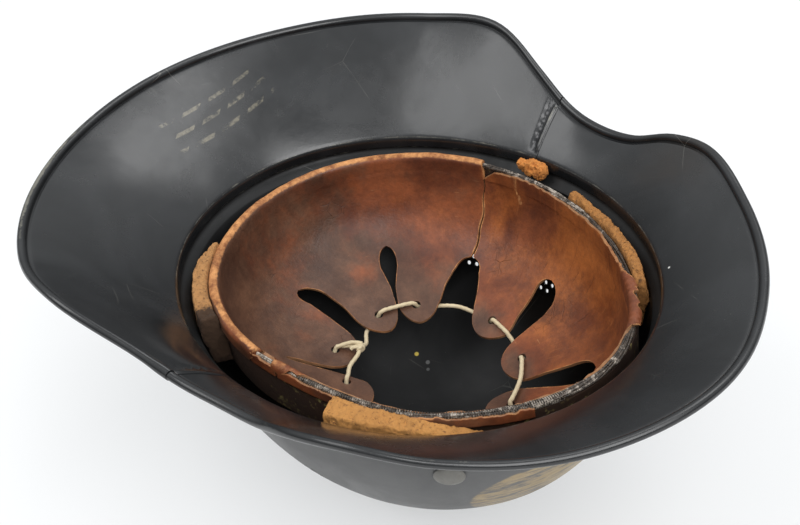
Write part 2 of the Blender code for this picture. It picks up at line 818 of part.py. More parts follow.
def make_pin(name, angle, drilled):
    """A domed split pin, its washer, and the holes for it through shell, pad and hoop."""
    place, out, sideways = wall_frame(angle, PIN_HEIGHT)
    washer_face = pin_reach(place, out, HOOP_IN) + WASHER_STAND
    legs = washer_face + WASHER_THICK + GAP
    head = lathe(
        name,
        [
            (PIN_SHANK, -legs - LEG_THICK),
            (PIN_SHANK, GAP + 0.1),
            (PIN_HEAD, GAP + 0.1),
            (PIN_HEAD, GAP + 0.6),
            (PIN_HEAD * 0.86, GAP + PIN_HEAD_RISE * 0.7),
            (PIN_HEAD * 0.5, GAP + PIN_HEAD_RISE * 0.95),
            (PIN_HEAD * 0.18, GAP + PIN_HEAD_RISE),
        ],
        "pin_metal",
    )
    leg_mesh = bpy.data.meshes.new(name + "_legs")
    work = bmesh.new()
    bmesh.ops.create_cube(work, size=1.0)
    bmesh.ops.scale(work, verts=work.verts, vec=Vector((2 * LEG_LENGTH, 2.2, LEG_THICK)) * MM)
    bmesh.ops.translate(work, verts=work.verts, vec=(0, 0, (-legs - LEG_THICK / 2) * MM))
    work.to_mesh(leg_mesh)
    work.free()
    leg = add_object(name + "_legs", leg_mesh, "pin_metal")
    combine(head, leg, "UNION")
    washer = lathe(
        name.replace("pin", "washer"),
        [(WASHER_RADIUS, -washer_face - WASHER_THICK), (WASHER_RADIUS, -washer_face)],
        "pin_metal",
        sides=14,
    )
    bore = rod(name + "_washer_bore", (0, 0, 0), (0, 0, 1), PIN_HOLE, -25.0, 1.0)
    combine(washer, bore, "DIFFERENCE")
    turn = out.to_track_quat("Z", "Y")
    for piece in (head, leg, washer, bore):
        piece.rotation_mode = "QUATERNION"
        piece.rotation_quaternion = turn
        piece.location = place * MM
    cutter = rod(name + "_bore", place, out, PIN_HOLE, -25.0, 5.0)
    for target in drilled:
        combine(target, cutter, "DIFFERENCE")


def main():
    clear_scene()
    crown = make_crown()
    make_visor()
    make_guard()
    make_sweatband()
    hoop = make_hoop()
    make_core()
    for number in range(len(SLOTS)):
        make_tongue(number)
    make_lace()
    pads = {name: make_pad(name, *ends) for name, ends in PADS.items()}
    make_remnant()
    for name, angle in PINS.items():
        crossed = [pads[pad] for pad, (first, last) in PADS.items() if first < angle < last]
        make_pin(name, angle, [crown, hoop, *crossed])


main()
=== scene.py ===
"""Looks of the old steel firefighter helmet: fine surfaces, leather, felt, lace and paint.

Lengths are in millimetres in the helmet's own frame (+X to the visor, +Y to the wearer's
right, +Z up out of the open side), and MM turns them into metres.
"""

import math

import bmesh
import bpy
import numpy as np
from mathutils import Matrix, Vector


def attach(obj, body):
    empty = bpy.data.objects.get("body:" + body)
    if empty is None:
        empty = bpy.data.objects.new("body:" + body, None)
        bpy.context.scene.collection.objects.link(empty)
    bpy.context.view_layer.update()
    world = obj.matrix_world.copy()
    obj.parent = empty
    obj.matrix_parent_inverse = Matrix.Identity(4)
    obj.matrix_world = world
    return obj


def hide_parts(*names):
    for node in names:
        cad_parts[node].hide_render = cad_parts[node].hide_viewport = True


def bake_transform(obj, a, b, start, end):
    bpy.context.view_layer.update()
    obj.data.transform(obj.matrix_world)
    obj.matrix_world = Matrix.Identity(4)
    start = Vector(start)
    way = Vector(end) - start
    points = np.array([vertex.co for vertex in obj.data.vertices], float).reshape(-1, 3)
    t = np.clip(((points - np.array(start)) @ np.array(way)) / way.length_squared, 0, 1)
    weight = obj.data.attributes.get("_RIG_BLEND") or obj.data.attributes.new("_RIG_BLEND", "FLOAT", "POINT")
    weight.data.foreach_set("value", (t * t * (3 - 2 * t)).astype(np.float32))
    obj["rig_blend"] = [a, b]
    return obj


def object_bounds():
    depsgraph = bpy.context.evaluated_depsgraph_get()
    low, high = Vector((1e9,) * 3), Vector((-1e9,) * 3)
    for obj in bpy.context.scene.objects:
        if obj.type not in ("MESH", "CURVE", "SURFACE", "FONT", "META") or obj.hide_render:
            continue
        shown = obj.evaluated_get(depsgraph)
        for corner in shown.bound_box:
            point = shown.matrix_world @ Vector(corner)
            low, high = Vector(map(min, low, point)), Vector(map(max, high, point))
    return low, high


MM = 0.001

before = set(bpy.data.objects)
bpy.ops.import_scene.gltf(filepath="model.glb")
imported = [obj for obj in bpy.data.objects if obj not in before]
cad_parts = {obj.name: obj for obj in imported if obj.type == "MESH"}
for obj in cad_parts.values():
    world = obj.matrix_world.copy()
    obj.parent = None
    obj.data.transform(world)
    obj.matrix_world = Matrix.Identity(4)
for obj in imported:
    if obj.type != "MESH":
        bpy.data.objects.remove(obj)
cad_box = [list(corner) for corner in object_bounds()]
scene = bpy.context.scene


# ---------------------------------------------------------------- shape of the steel shell

MOUTH_FRONT = 111.5
MOUTH_REAR = 113
MOUTH_SIDE = 92.7
LIP_HEIGHT = 110.5
LIP_RADIUS = 4
SHEET = 1
COLLAR_BOTTOM = 103.5
FLARE = math.radians(8)
WALL_INSET = 2.5
DOME_RISE = 107
CROWN_FLAT = 0.18
DOME_FLAT = DOME_RISE * (1 - math.sqrt(1 - CROWN_FLAT**2))
LEDGE_BOTTOM = 97
FLANGE_END = 13
VISOR_END = 94.1
GUARD_START = 94.4
SEAM_RADIUS = 118
# Rosettes of seven vent holes: angles round the dome, height, ring and hole radius.
VENT_ANGLES = (84, 116, -84, -116)
VENT_HEIGHT = 50.5
VENT_RING = 4.2
VENT_RADIUS = 1.05
PIN_ANGLES = {"front_left": -38.4, "front_right": 38.4, "rear": 180}
PIN_HEIGHT = 81
# Outline of the skirts' rim: angle from the front, radius and height.
RIM = (
    (0, 157, 128.5), (20, 150, 128), (40, 139.7, 132.5), (53, 133, 137.4), (63, 125.5, 133.5),
    (72, 117.5, 125.6), (82, 114.2, 123.5), (92, 116.6, 126), (102, 124.6, 136),
    (115, 142.8, 148.6), (130, 157, 146.5), (153, 168, 146.8), (180, 172, 148.5),
)


def spline(table, x, column):
    """Smooth values between the rows of a table, level at its ends."""
    table = np.asarray(table, float)
    xs, ys = table[:, 0], table[:, column]
    slopes = np.zeros_like(ys)
    slopes[1:-1] = (ys[2:] - ys[:-2]) / (xs[2:] - xs[:-2])
    x = np.clip(x, xs[0], xs[-1])
    i = np.clip(np.searchsorted(xs, x, "right") - 1, 0, len(xs) - 2)
    width = xs[i + 1] - xs[i]
    t = (x - xs[i]) / width
    start = (1 + 2 * t) * (1 - t) ** 2 * ys[i] + t * (1 - t) ** 2 * width * slopes[i]
    return start + t * t * (3 - 2 * t) * ys[i + 1] + t * t * (t - 1) * width * slopes[i + 1]


def lumps(points, size, seed=0):
    """Smooth noise from -1 to 1 at points (mm), with lumps of about that size."""
    place = points / size + seed * 19.17
    cell = np.floor(place)
    part = place - cell
    part = part * part * (3 - 2 * part)
    total = np.zeros(points.shape[:-1])
    for corner in np.ndindex(2, 2, 2):
        at = cell + corner
        value = np.sin(at @ np.array((127.1, 311.7, 74.7))) * 43758.5453
        weight = np.prod(np.where(np.array(corner), part, 1 - part), axis=-1)
        total += weight * (value - np.floor(value))
    return total * 2 - 1


def wrap(angle):
    """Angles (degrees) brought to -180..180."""
    return (angle + 180) % 360 - 180


def hump(x, middle, width, power=2):
    """A smooth bump of height 1 round the middle; power 4 gives it a flat top."""
    return np.exp(-(((x - middle) / width) ** power))


def ragged(angles, size, seed):
    """Smooth noise along a line of angles."""
    return lumps(np.stack((angles, 0 * angles, 0 * angles), -1), size, seed)


def table_at(table, x):
    """Values between the pairs of a table, on straight lines."""
    return np.interp(x, *np.transpose(table))


def unit(vectors):
    return vectors / np.linalg.norm(vectors, axis=-1, keepdims=True)


def distances(points):
    """How far along the line each of its points is."""
    steps = np.linalg.norm(np.diff(points, axis=0), axis=1)
    return np.concatenate(([0], np.cumsum(steps)))


def circle(count, first, second):
    """Directions evenly round a circle, from the first axis to the second."""
    turns = np.linspace(0, 2 * math.pi, count, endpoint=False)
    return np.outer(np.cos(turns), first) + np.outer(np.sin(turns), second)


def polar(angle, radius, height):
    turn = np.radians(angle)
    radius, height = np.broadcast_arrays(radius, height)
    return np.stack((radius * np.cos(turn), radius * np.sin(turn), height + 0 * turn), -1)


def mouth_radius(angle, inset=0):
    """Radius of the shell's oval mouth, or of an oval set inside it."""
    turn = np.radians(angle)
    length = np.where(np.cos(turn) > 0, MOUTH_FRONT, MOUTH_REAR) - inset
    return 1 / np.hypot(np.cos(turn) / length, np.sin(turn) / (MOUTH_SIDE - inset))


def skirt_line(angle):
    """Points (radius, height) of the skirt's visible side in section, and their runs."""
    mouth = float(mouth_radius(angle))
    size = abs(wrap(angle))
    rim = np.array((spline(RIM, size, 1), spline(RIM, size, 2)), float)
    chord = rim - (mouth + 2, LIP_HEIGHT - 1)
    rise = math.atan2(chord[1], chord[0]) + FLARE
    turns = np.linspace(math.pi, math.pi / 2 + rise, 16)[:, None]
    centre = np.array((mouth + LIP_RADIUS, LIP_HEIGHT - LIP_RADIUS))
    bend = centre + LIP_RADIUS * np.hstack((np.cos(turns), np.sin(turns)))
    start = bend[-1]
    heading = np.array((math.cos(rise), math.sin(rise)))
    pull = start + heading * np.linalg.norm(rim - start) * 0.5
    t = np.linspace(0, 1, 50)[1:, None]
    flare = start * (1 - t) ** 2 + pull * 2 * t * (1 - t) + rim * t**2
    points = np.vstack(([(mouth, COLLAR_BOTTOM)], bend, flare))
    return points, distances(points)


def along(line, runs, lifts):
    """Points at these runs along a section line, lifted from it to the open side."""
    points, marks = line
    headings = unit(np.gradient(points, marks, axis=0))
    at = [np.interp(runs, marks, points[:, k]) for k in (0, 1)]
    ahead = [np.interp(runs, marks, headings[:, k]) for k in (0, 1)]
    return np.stack((at[0] - ahead[1] * lifts, at[1] + ahead[0] * lifts), -1)


def skirt_outline(length, bead):
    """Runs, lifts and wear of a skirt's section: visible side, rolled rim, back."""
    inner = [np.linspace(0, 3, 4)[:-1], np.linspace(3, 9, 13)[:-1]]
    inner += [np.linspace(9, length - 6.2, 30)]
    front = np.concatenate(inner)
    groove = np.array(((5.6, -0.04), (5.1, -0.22), (4.7, -0.42), (4.35, -0.45)))
    turns = np.radians(np.linspace(172, -158, 24))
    runs = [front, length - groove[:, 0], length - 2.1 + 2.05 * np.cos(turns)]
    lifts = [np.zeros(len(front)), groove[:, 1], -0.3 + bead * np.sin(turns)]
    back = front[::-2]
    runs.append(back)
    lifts.append(np.full(len(back), -SHEET))
    crest = np.clip(np.sin(turns + 0.5), 0, 1) ** 3
    wear = [np.zeros(len(front) + len(groove)), crest, np.zeros(len(back))]
    return np.concatenate(runs), np.concatenate(lifts), np.concatenate(wear)


def rim_wear(angle):
    """How far the paint is gone from the rolled rim: most at the left rear corner."""
    corner, front = hump(wrap(angle + 150), 0, 16), hump(wrap(angle + 45), 0, 40)
    return 0.36 + 0.55 * max(corner, 0.225 * front)


def shell_waves(points):
    """How far the hand-worked sheet stands off its smooth shape."""
    return 0.35 * lumps(points, 70, 1) + 0.16 * lumps(points, 28, 2)


def seam_relief(away, run, length):
    """Lift of the neck guard near its end: a raised lip, then a channel with spot welds."""
    flat_part = np.clip((run - 7) / 3, 0, 1) * np.clip((length - 5.5 - run) / 2, 0, 1)
    lip = 0.75 * hump(away, 1.3, 0.95, 4)
    channel = 0.45 * hump(away, 4.6, 1.8, 4)
    pitch = (run - 12) / 4.2
    weld = np.hypot(away - 4.7, (pitch - np.round(pitch)) * 4.2)
    return (lip - channel - 0.55 * hump(weld, 0, 1)) * flat_part


def skirt_surface(angles, end=None):
    """Rows of sections round a skirt, with the wear of each point, which also holds painted highlight lines
    on the rounded lip and the seam's raised lip; end has the welds.
    """
    rows, wears = [], []
    for angle in angles:
        line = skirt_line(angle)
        length = line[1][-1]
        away = 99 if end is None else math.radians(abs(angle) - end) * SEAM_RADIUS
        bead = 1.85 + 0.4 * hump(away, 0, 7, 4)
        runs, lifts, wear = skirt_outline(length, bead)
        base = along(line, np.minimum(runs, length), np.zeros(len(runs)))
        waves = shell_waves(polar(angle, base[:, 0], base[:, 1]))
        waves = waves * np.clip((runs - 6) / 14, 0, 1)
        if end is not None:
            waves = waves + seam_relief(away, runs, length) * (1 if angle > 0 else 0.4)
        flat = along(line, np.minimum(runs, length), lifts + waves)
        over = np.maximum(runs - length, 0)[:, None]
        flat = flat + over * unit(line[0][-1] - line[0][-2])
        rows.append(polar(angle, flat[:, 0], flat[:, 1]))
        # Worn paint and a painted highlight along the seam's raised lip, much stronger on the right-hand
        # seam than on the left.
        lip = (0.66 if angle > 0 else 0.2) * hump(away, 1.25, 0.9, 4)
        lip = lip * (runs > 8) * (runs < length - 6)
        # A thin painted highlight line along the skirt's rounded lip, carried in the wear values.
        collar_highlight = 0.8 * hump(runs, 5.2, 0.45) * (lifts == 0)
        wears.append(np.maximum(wear * rim_wear(angle), np.maximum(lip, collar_highlight)))
    return np.array(rows), np.array(wears)


# ---------------------------------------------------------------- shape of the liner

LINER_FRONT = 111
LINER_REAR = 91
LINER_SIDE = 82
LINER_SHIFT = -10
LINER_MEAN = 95
LINER_LEAN = 2
LEAN_START = 45
# How far the liner has sunk in (or bulged out, below 0): liner angle and distance.
SUNK = (
    (-180, 2), (-165, 2.6), (-150, 3), (-130, 3.2), (-115, 4.3), (-100, 5.5), (-85, 6.2),
    (-75, 5.2), (-65, 3.4), (-55, 1.1), (-47, 0), (-38, 0), (-25, -0.8), (-12, -2), (5, -2.6),
    (20, -2.3), (30, -1.2), (38, -0.1), (41, 0), (120, 0), (150, 0.7), (165, 1.2), (180, 2),
)
SUNK_START = 66
SUNK_FULL = 90
LEATHER = 1.3
# The leather in section: run down from the band's top edge, mean radius and height.
LEATHER_LINE = np.array(
    (
        (0, 91.8, 104), (16, 90.8, 87.5), (31, 84.8, 73), (45, 72.4, 62.5), (59, 57, 55),
        (71, 44.7, 50), (79, 36.5, 47.5), (88, 27.5, 46),
    )
)
TIP_END = 79
TIP_ROUND = 13
CORE_RADIUS = 1.15
CORE_MEAN = 93.75
CORE_HEIGHT = 102.4
# The fold: height of its end, runs where it starts and bends off the band, middle radius
# round the core, then the lengths of its three parts and of all of it.
FOLD_END = 98
FOLD_START = 8
FOLD_BEND = 1.6
FOLD_MIDDLE = CORE_RADIUS + 0.2 + LEATHER / 2
FOLD_RISE = FOLD_START - FOLD_BEND
FOLD_ARC = math.pi * FOLD_MIDDLE
FOLD_LEG = CORE_HEIGHT - FOLD_END
FOLD_WAY = FOLD_RISE + FOLD_ARC + FOLD_LEG
HOOP_IN = 93.7
HOOP_OUT = 94.9
HOOP_LOW = 79.5
HOOP_TOP = 100.4

# Slots, as in the model: run of the round top, angle there, then angles and half-widths.
SLOT_RUNS = (52, 60, 70)
SLOTS = (
    (39.4, 25.2, (24.6, 24.3, 22.6), (6, 5.2, 3.4)),
    (39.2, 70, (66.5, 65, 61.6), (5.1, 4.6, 3)),
    (46.2, 104.3, (105, 105.2, 104.5), (6.2, 9.6, 12.5)),
    (43, 142.6, (143.8, 144.9, 146.4), (4.1, 1.4, 0.5)),
    (44.5, 189.8, (185.6, 184, 184.2), (5.2, 6, 5.6)),
    (50.5, 230, (230, 230, 230), (1.2, 1.2, 2.5)),
    (41, 279, (279, 279, 279), (5, 4.6, 4)),
    (41, 340, (340, 340, 340), (5.5, 5.3, 5)),
)
SLOT_ROUND = 8
# How far the tongue tips reach past the line, at these liner angles.
REACH_ANGLES = (0, 100, 133, 162, 185, 210, 228, 243, 262, 279, 300)
TIP_REACH = (0, 0, 3.5, 4.5, 4, 2.5, 3, 7.5, 6, 3, 0)
TORN_SLOT = 2
HOLE_ANGLES = (3.5, 44.5, 78.5, 133, 162, 210.5, 242, 300)
HOLE_RUN = 69
HOLE_RADIUS = 2.1
# Route of the lace, as in the model: angle, run and lift over the leather.
LACE_ROUTE = (
    (216, 69, -2.4), (212, 69, -2), (210.5, 69, 0), (209, 69.3, 2), (206, 72, 2.6),
    (204, 75.5, 3.2), (203, 79, 3.7), (213, 79.5, 3.3), (227, 76, 2.9), (237, 71.5, 2.5),
    (240.5, 69.5, 2), (242, 69, 0), (243.5, 69, -2), (248, 69, -2.5), (260, 69, -2.5),
    (273.5, 69, -2.6), (279, 69, 0), (284.5, 69, 2.6), (294, 69, 2.4), (298.5, 69, 2),
    (300, 69, 0), (301.5, 69, -2), (306, 69, -2.4), (322, 69, -2.4), (340, 69, -2.6),
    (354, 69, -2.4), (360, 69, -2.4), (362.4, 69, -2), (363.5, 69, 0), (364.6, 69, 2),
    (368, 69, 2.4), (384, 69.5, 2.6), (399, 69, 2.4), (403, 69, 2), (404.5, 69, 0),
    (406, 69, -2), (411, 69, -2.4), (417.9, 69, -2.5), (421.6, 69, 0), (425.3, 69, 2.5),
    (434.5, 69, 2.4), (437, 69, 2), (438.5, 69, 0), (440, 69, -2), (444, 69, -2.4),
    (465, 68.5, -2.5), (486, 69, -2.4), (491.4, 69, -2), (493, 69, 0), (494.6, 69, 2),
    (499, 69, 2.4), (508, 69.3, 2.6), (516, 69, 2.4), (520.4, 69, 2), (522, 69, 0),
    (523.6, 69, -2), (528, 69.6, -2.4), (538, 72.5, -2.5), (549, 77.5, -0.6), (561, 79, 3.4),
)

# How much of the hem's fold is left: liner angle and share, from the band over the core.
FOLD_LEFT = (
    (-180, 1), (-97, 1), (-95, 0.78), (-94, 0.46), (-88.5, 0.44), (-87, 0.85), (-84, 0.8),
    (-82, 0.6), (-80, 0.64), (-75, 0.42), (-66, 0.38), (-40, 0.36), (-10, 0.38), (5, 0.37),
    (14, 0.4), (19, 0.58), (23, 0.72), (30, 0.56), (34, 0.7), (38, 0.48), (44, 0.42),
    (60, 0.41), (80, 0.42), (90, 0.4), (96, 0.36), (99, 0.3), (103, 0.02), (103.3, 0.02),
    (103.5, 1), (180, 1),
)
# How ragged the fold's torn edge is: liner angle and share.
SHREDDED = ((14, 1), (20, 4), (36, 4), (42, 1), (96, 1), (100, 0.3))
# Colour of the leather, from grey at 0 to orange at 1: liner angle and tone.
TONE = (
    (0, 0.8), (30, 0.95), (60, 0.9), (85, 0.7), (103, 0.62), (106, 0.42), (125, 0.5),
    (150, 0.33), (180, 0.16), (230, 0.08), (280, 0.3), (330, 0.6), (360, 0.8),
)
# How far the fold is rubbed raw: liner angle and share.
RUBBED = ((-100, 1), (-90, 0.6), (-66, 0.45), (12, 0.45), (18, 0.15), (38, 0.15), (44, 0.45))
RUBBED += ((90, 0.45), (103, 1))
# Where the fold's outer side has stayed dark, and how dark its front stretch is.
DARK_SIDE = ((-130, 0), (-118, 1), (-98, 1), (-93, 0))
DARK_FRONT = ((14, 1), (20, 0.55), (36, 0.55), (42, 1))
# How far the cord in the hem is frayed to pale fibre: liner angle and share.
FRAYED = ((-180, 0), (-97, 0.9), (-84, 1), (-66, 0.8), (-30, 0.6), (-20, 0.8), (-6, 0.5))
FRAYED += ((12, 0.1), (40, 0.1), (60, 0.5), (75, 0.8), (92, 0.7), (104, 0.2), (180, 0))
# How far the cord has swollen where the leather no longer holds it.
SWOLLEN = ((-180, 1), (-84, 1), (-74, 1.4), (14, 1.4), (22, 1), (38, 1), (50, 1.25))
SWOLLEN += ((96, 1.2), (103, 1), (180, 1))


def liner_point(angle, mean, height):
    """Points at the liner's own angles, on its oval of that mean radius, at a height."""
    turn = np.radians(angle)
    share = np.clip((mean - SUNK_START) / (SUNK_FULL - SUNK_START), 0, 1)
    mean = mean - share * spline(SUNK, wrap(np.asarray(angle)), 1)
    length = np.where(np.cos(turn) > 0, LINER_FRONT, LINER_REAR)
    scale = mean / LINER_MEAN
    lean = LINER_LEAN * np.maximum(mean - LEAN_START, 0) / (LINER_MEAN - LEAN_START)
    x = (LINER_SHIFT + length * np.cos(turn)) * scale
    y = LINER_SIDE * np.sin(turn) * scale + lean
    return np.stack(np.broadcast_arrays(x, y, height), -1)


def leather_line(run):
    """Mean radius and height of the leather at these runs down from its top edge."""
    ends = [2 * LEATHER_LINE[0] - LEATHER_LINE[1], 2 * LEATHER_LINE[-1] - LEATHER_LINE[-2]]
    table = np.vstack((ends[0], LEATHER_LINE, ends[1]))
    return spline(table, run, 1), spline(table, run, 2)


def leather_place(angle, run, lift):
    """Points of the band and the tongues, lifted from the middle of the leather."""
    reach = np.interp(np.mod(angle, 360), REACH_ANGLES, TIP_REACH)
    run = run + reach * np.clip((run - 50) / 20, 0, 1)
    ahead, behind = leather_line(run + 0.5), leather_line(run - 0.5)
    heading = np.array((ahead[0] - behind[0], ahead[1] - behind[1]))
    heading /= np.hypot(heading[0], heading[1])
    mean = (ahead[0] + behind[0]) / 2
    height = (ahead[1] + behind[1]) / 2
    base = liner_point(angle, mean, height)
    worn = 0.45 * lumps(base, 34, 3) + 0.22 * lumps(base, 13, 4)
    lift = lift + worn * np.clip((run - 2) / 10, 0, 1)
    return liner_point(angle, mean + heading[1] * lift, height - heading[0] * lift)


def fold_place(angle, way):
    """Points on the leather's way from run FOLD_START up, over the core and down."""
    run = np.clip(FOLD_START - way, FOLD_BEND, None)
    low = np.array(leather_line(run))
    turn = np.clip((way - FOLD_RISE) / FOLD_MIDDLE, 0, math.pi)
    drop = np.clip(way - FOLD_RISE - FOLD_ARC, 0, None)
    arc_height = CORE_HEIGHT + FOLD_MIDDLE * np.sin(turn) - drop
    arc = np.array((CORE_MEAN - FOLD_MIDDLE * np.cos(turn), arc_height))
    mean, height = np.where(way < FOLD_RISE, low, arc)
    base = liner_point(angle, mean, height)
    puff = 0.35 * lumps(base, 15, 5) + 0.22 * lumps(base, 4.5, 6)
    up = np.sin(turn) * puff
    return base + np.stack((0 * up, 0 * up, up), -1)


# ---------------------------------------------------------------- building meshes


def link(obj):
    scene.collection.objects.link(obj)
    return obj


def grid_faces(rows, columns, close_rows, close_columns):
    i = np.arange(rows if close_rows else rows - 1)
    j = np.arange(columns if close_columns else columns - 1)
    i, j = (a.ravel() for a in np.meshgrid(i, j, indexing="ij"))
    across, down = (j + 1) % columns, (i + 1) % rows
    corners = (i * columns + j, i * columns + across, down * columns + across, down * columns + j)
    return np.stack(corners, -1).tolist()


def smooth(obj, sharp):
    obj.data.shade_smooth()
    obj.data.set_sharp_from_angle(angle=math.radians(sharp))
    return obj


class Grids:
    """Grids of points gathered into one mesh, with named values for each point."""

    def __init__(self):
        self.points, self.faces, self.values, self.count = [], [], {}, 0

    def add(self, grid, rows=False, columns=True, caps=True, **values):
        """Adds a grid, closed along its columns and capped at its first and last row."""
        height, width = grid.shape[:2]
        faces = grid_faces(height, width, rows, columns)
        if caps and not rows:
            faces.append(list(range(width)))
            faces.append(list(range((height - 1) * width, height * width)))
        self.faces += [[i + self.count for i in face] for face in faces]
        self.points.append(grid.reshape(-1, 3) * MM)
        self.count += height * width
        for key, numbers in values.items():
            numbers = np.broadcast_to(numbers, (height, width)).ravel()
            self.values.setdefault(key, []).append(numbers)
        return self

    def build(self, name, *materials, sharp=40, weld=0):
        mesh = bpy.data.meshes.new(name)
        mesh.from_pydata(np.vstack(self.points).tolist(), [], self.faces)
        for key, numbers in self.values.items():
            attribute = mesh.attributes.new(key, "FLOAT", "POINT")
            attribute.data.foreach_set("value", np.concatenate(numbers).astype(np.float32))
        work = bmesh.new()
        work.from_mesh(mesh)
        if weld:
            bmesh.ops.remove_doubles(work, verts=work.verts, dist=weld * MM)
        bmesh.ops.recalc_face_normals(work, faces=work.faces)
        work.to_mesh(mesh)
        work.free()
        for material in materials:
            mesh.materials.append(material)
        return smooth(link(bpy.data.objects.new(name, mesh)), sharp)


def apply_all(obj):
    """The object with its modifiers worked into its mesh."""
    graph = bpy.context.evaluated_depsgraph_get()
    mesh = bpy.data.meshes.new_from_object(obj.evaluated_get(graph))
    obj.modifiers.clear()
    obj.data = mesh
    return obj


def thicken(obj, thickness, even):
    """Turns a sheet into leather of that thickness, with its second material at the edges."""
    modifier = obj.modifiers.new("thickness", "SOLIDIFY")
    modifier.thickness = thickness * MM
    modifier.offset = 0
    modifier.use_even_offset = even
    modifier.material_offset_rim = 1
    return apply_all(obj)


def cut(obj, cutters, sharp):
    modifier = obj.modifiers.new("holes", "BOOLEAN")
    modifier.operation = "DIFFERENCE"
    modifier.solver = "EXACT"
    modifier.object = cutters
    apply_all(obj)
    bpy.data.objects.remove(cutters)
    return smooth(obj, sharp)


def rods(name, places, axes, radius, reach, sides=20):
    """Round cutters through these places along these axes, all in one object."""
    work = bmesh.new()
    for place, axis in zip(places, axes):
        turn = Vector(axis).to_track_quat("Z", "Y").to_matrix().to_4x4()
        bmesh.ops.create_cone(
            work,
            cap_ends=True,
            segments=sides,
            radius1=radius * MM,
            radius2=radius * MM,
            depth=2 * reach * MM,
            matrix=Matrix.Translation(Vector(place) * MM) @ turn,
        )
    mesh = bpy.data.meshes.new(name)
    work.to_mesh(mesh)
    work.free()
    return link(bpy.data.objects.new(name, mesh))


def tube(points, radius, sides, closed=False, twist=0, strands=0):
    """A grid of rings round a line of points, with the strands of a twisted cord."""
    ahead = np.roll(points, -1, 0) - np.roll(points, 1, 0)
    if not closed:
        ahead[0] = points[1] - points[0]
        ahead[-1] = points[-1] - points[-2]
    way = distances(points)
    side = np.cross(unit(ahead[0]), (0.31, 0.17, 0.93))
    turns = np.linspace(0, 2 * math.pi, sides, endpoint=False)
    rings = []
    for k, heading in enumerate(unit(ahead)):
        side = unit(side - heading * (side @ heading))
        swell = 1 + 0.09 * np.cos(strands * turns + way[k] * twist) if strands else 1
        r = (radius[k] if np.ndim(radius) else radius) * swell
        ring = circle(sides, side, np.cross(heading, side))
        rings.append(points[k] + ring * (r[:, None] if np.ndim(r) else r))
    return np.array(rings)


def smooth_route(points, steps):
    """Points on a smooth curve through the given ones."""
    points = np.vstack((2 * points[0] - points[1], points, 2 * points[-1] - points[-2]))
    a, b, c, d = (points[k : len(points) - 3 + k] for k in range(4))
    t = np.linspace(0, 1, steps, endpoint=False)[None, :, None]
    a, b, c, d = (part[:, None] for part in (a, b, c, d))
    bend = (2 * a - 5 * b + 4 * c - d) * t**2 + (3 * b - a - 3 * c + d) * t**3
    curve = (2 * b + (c - a) * t + bend) / 2
    return np.vstack((curve.reshape(-1, 3), points[-2]))


# ---------------------------------------------------------------- materials


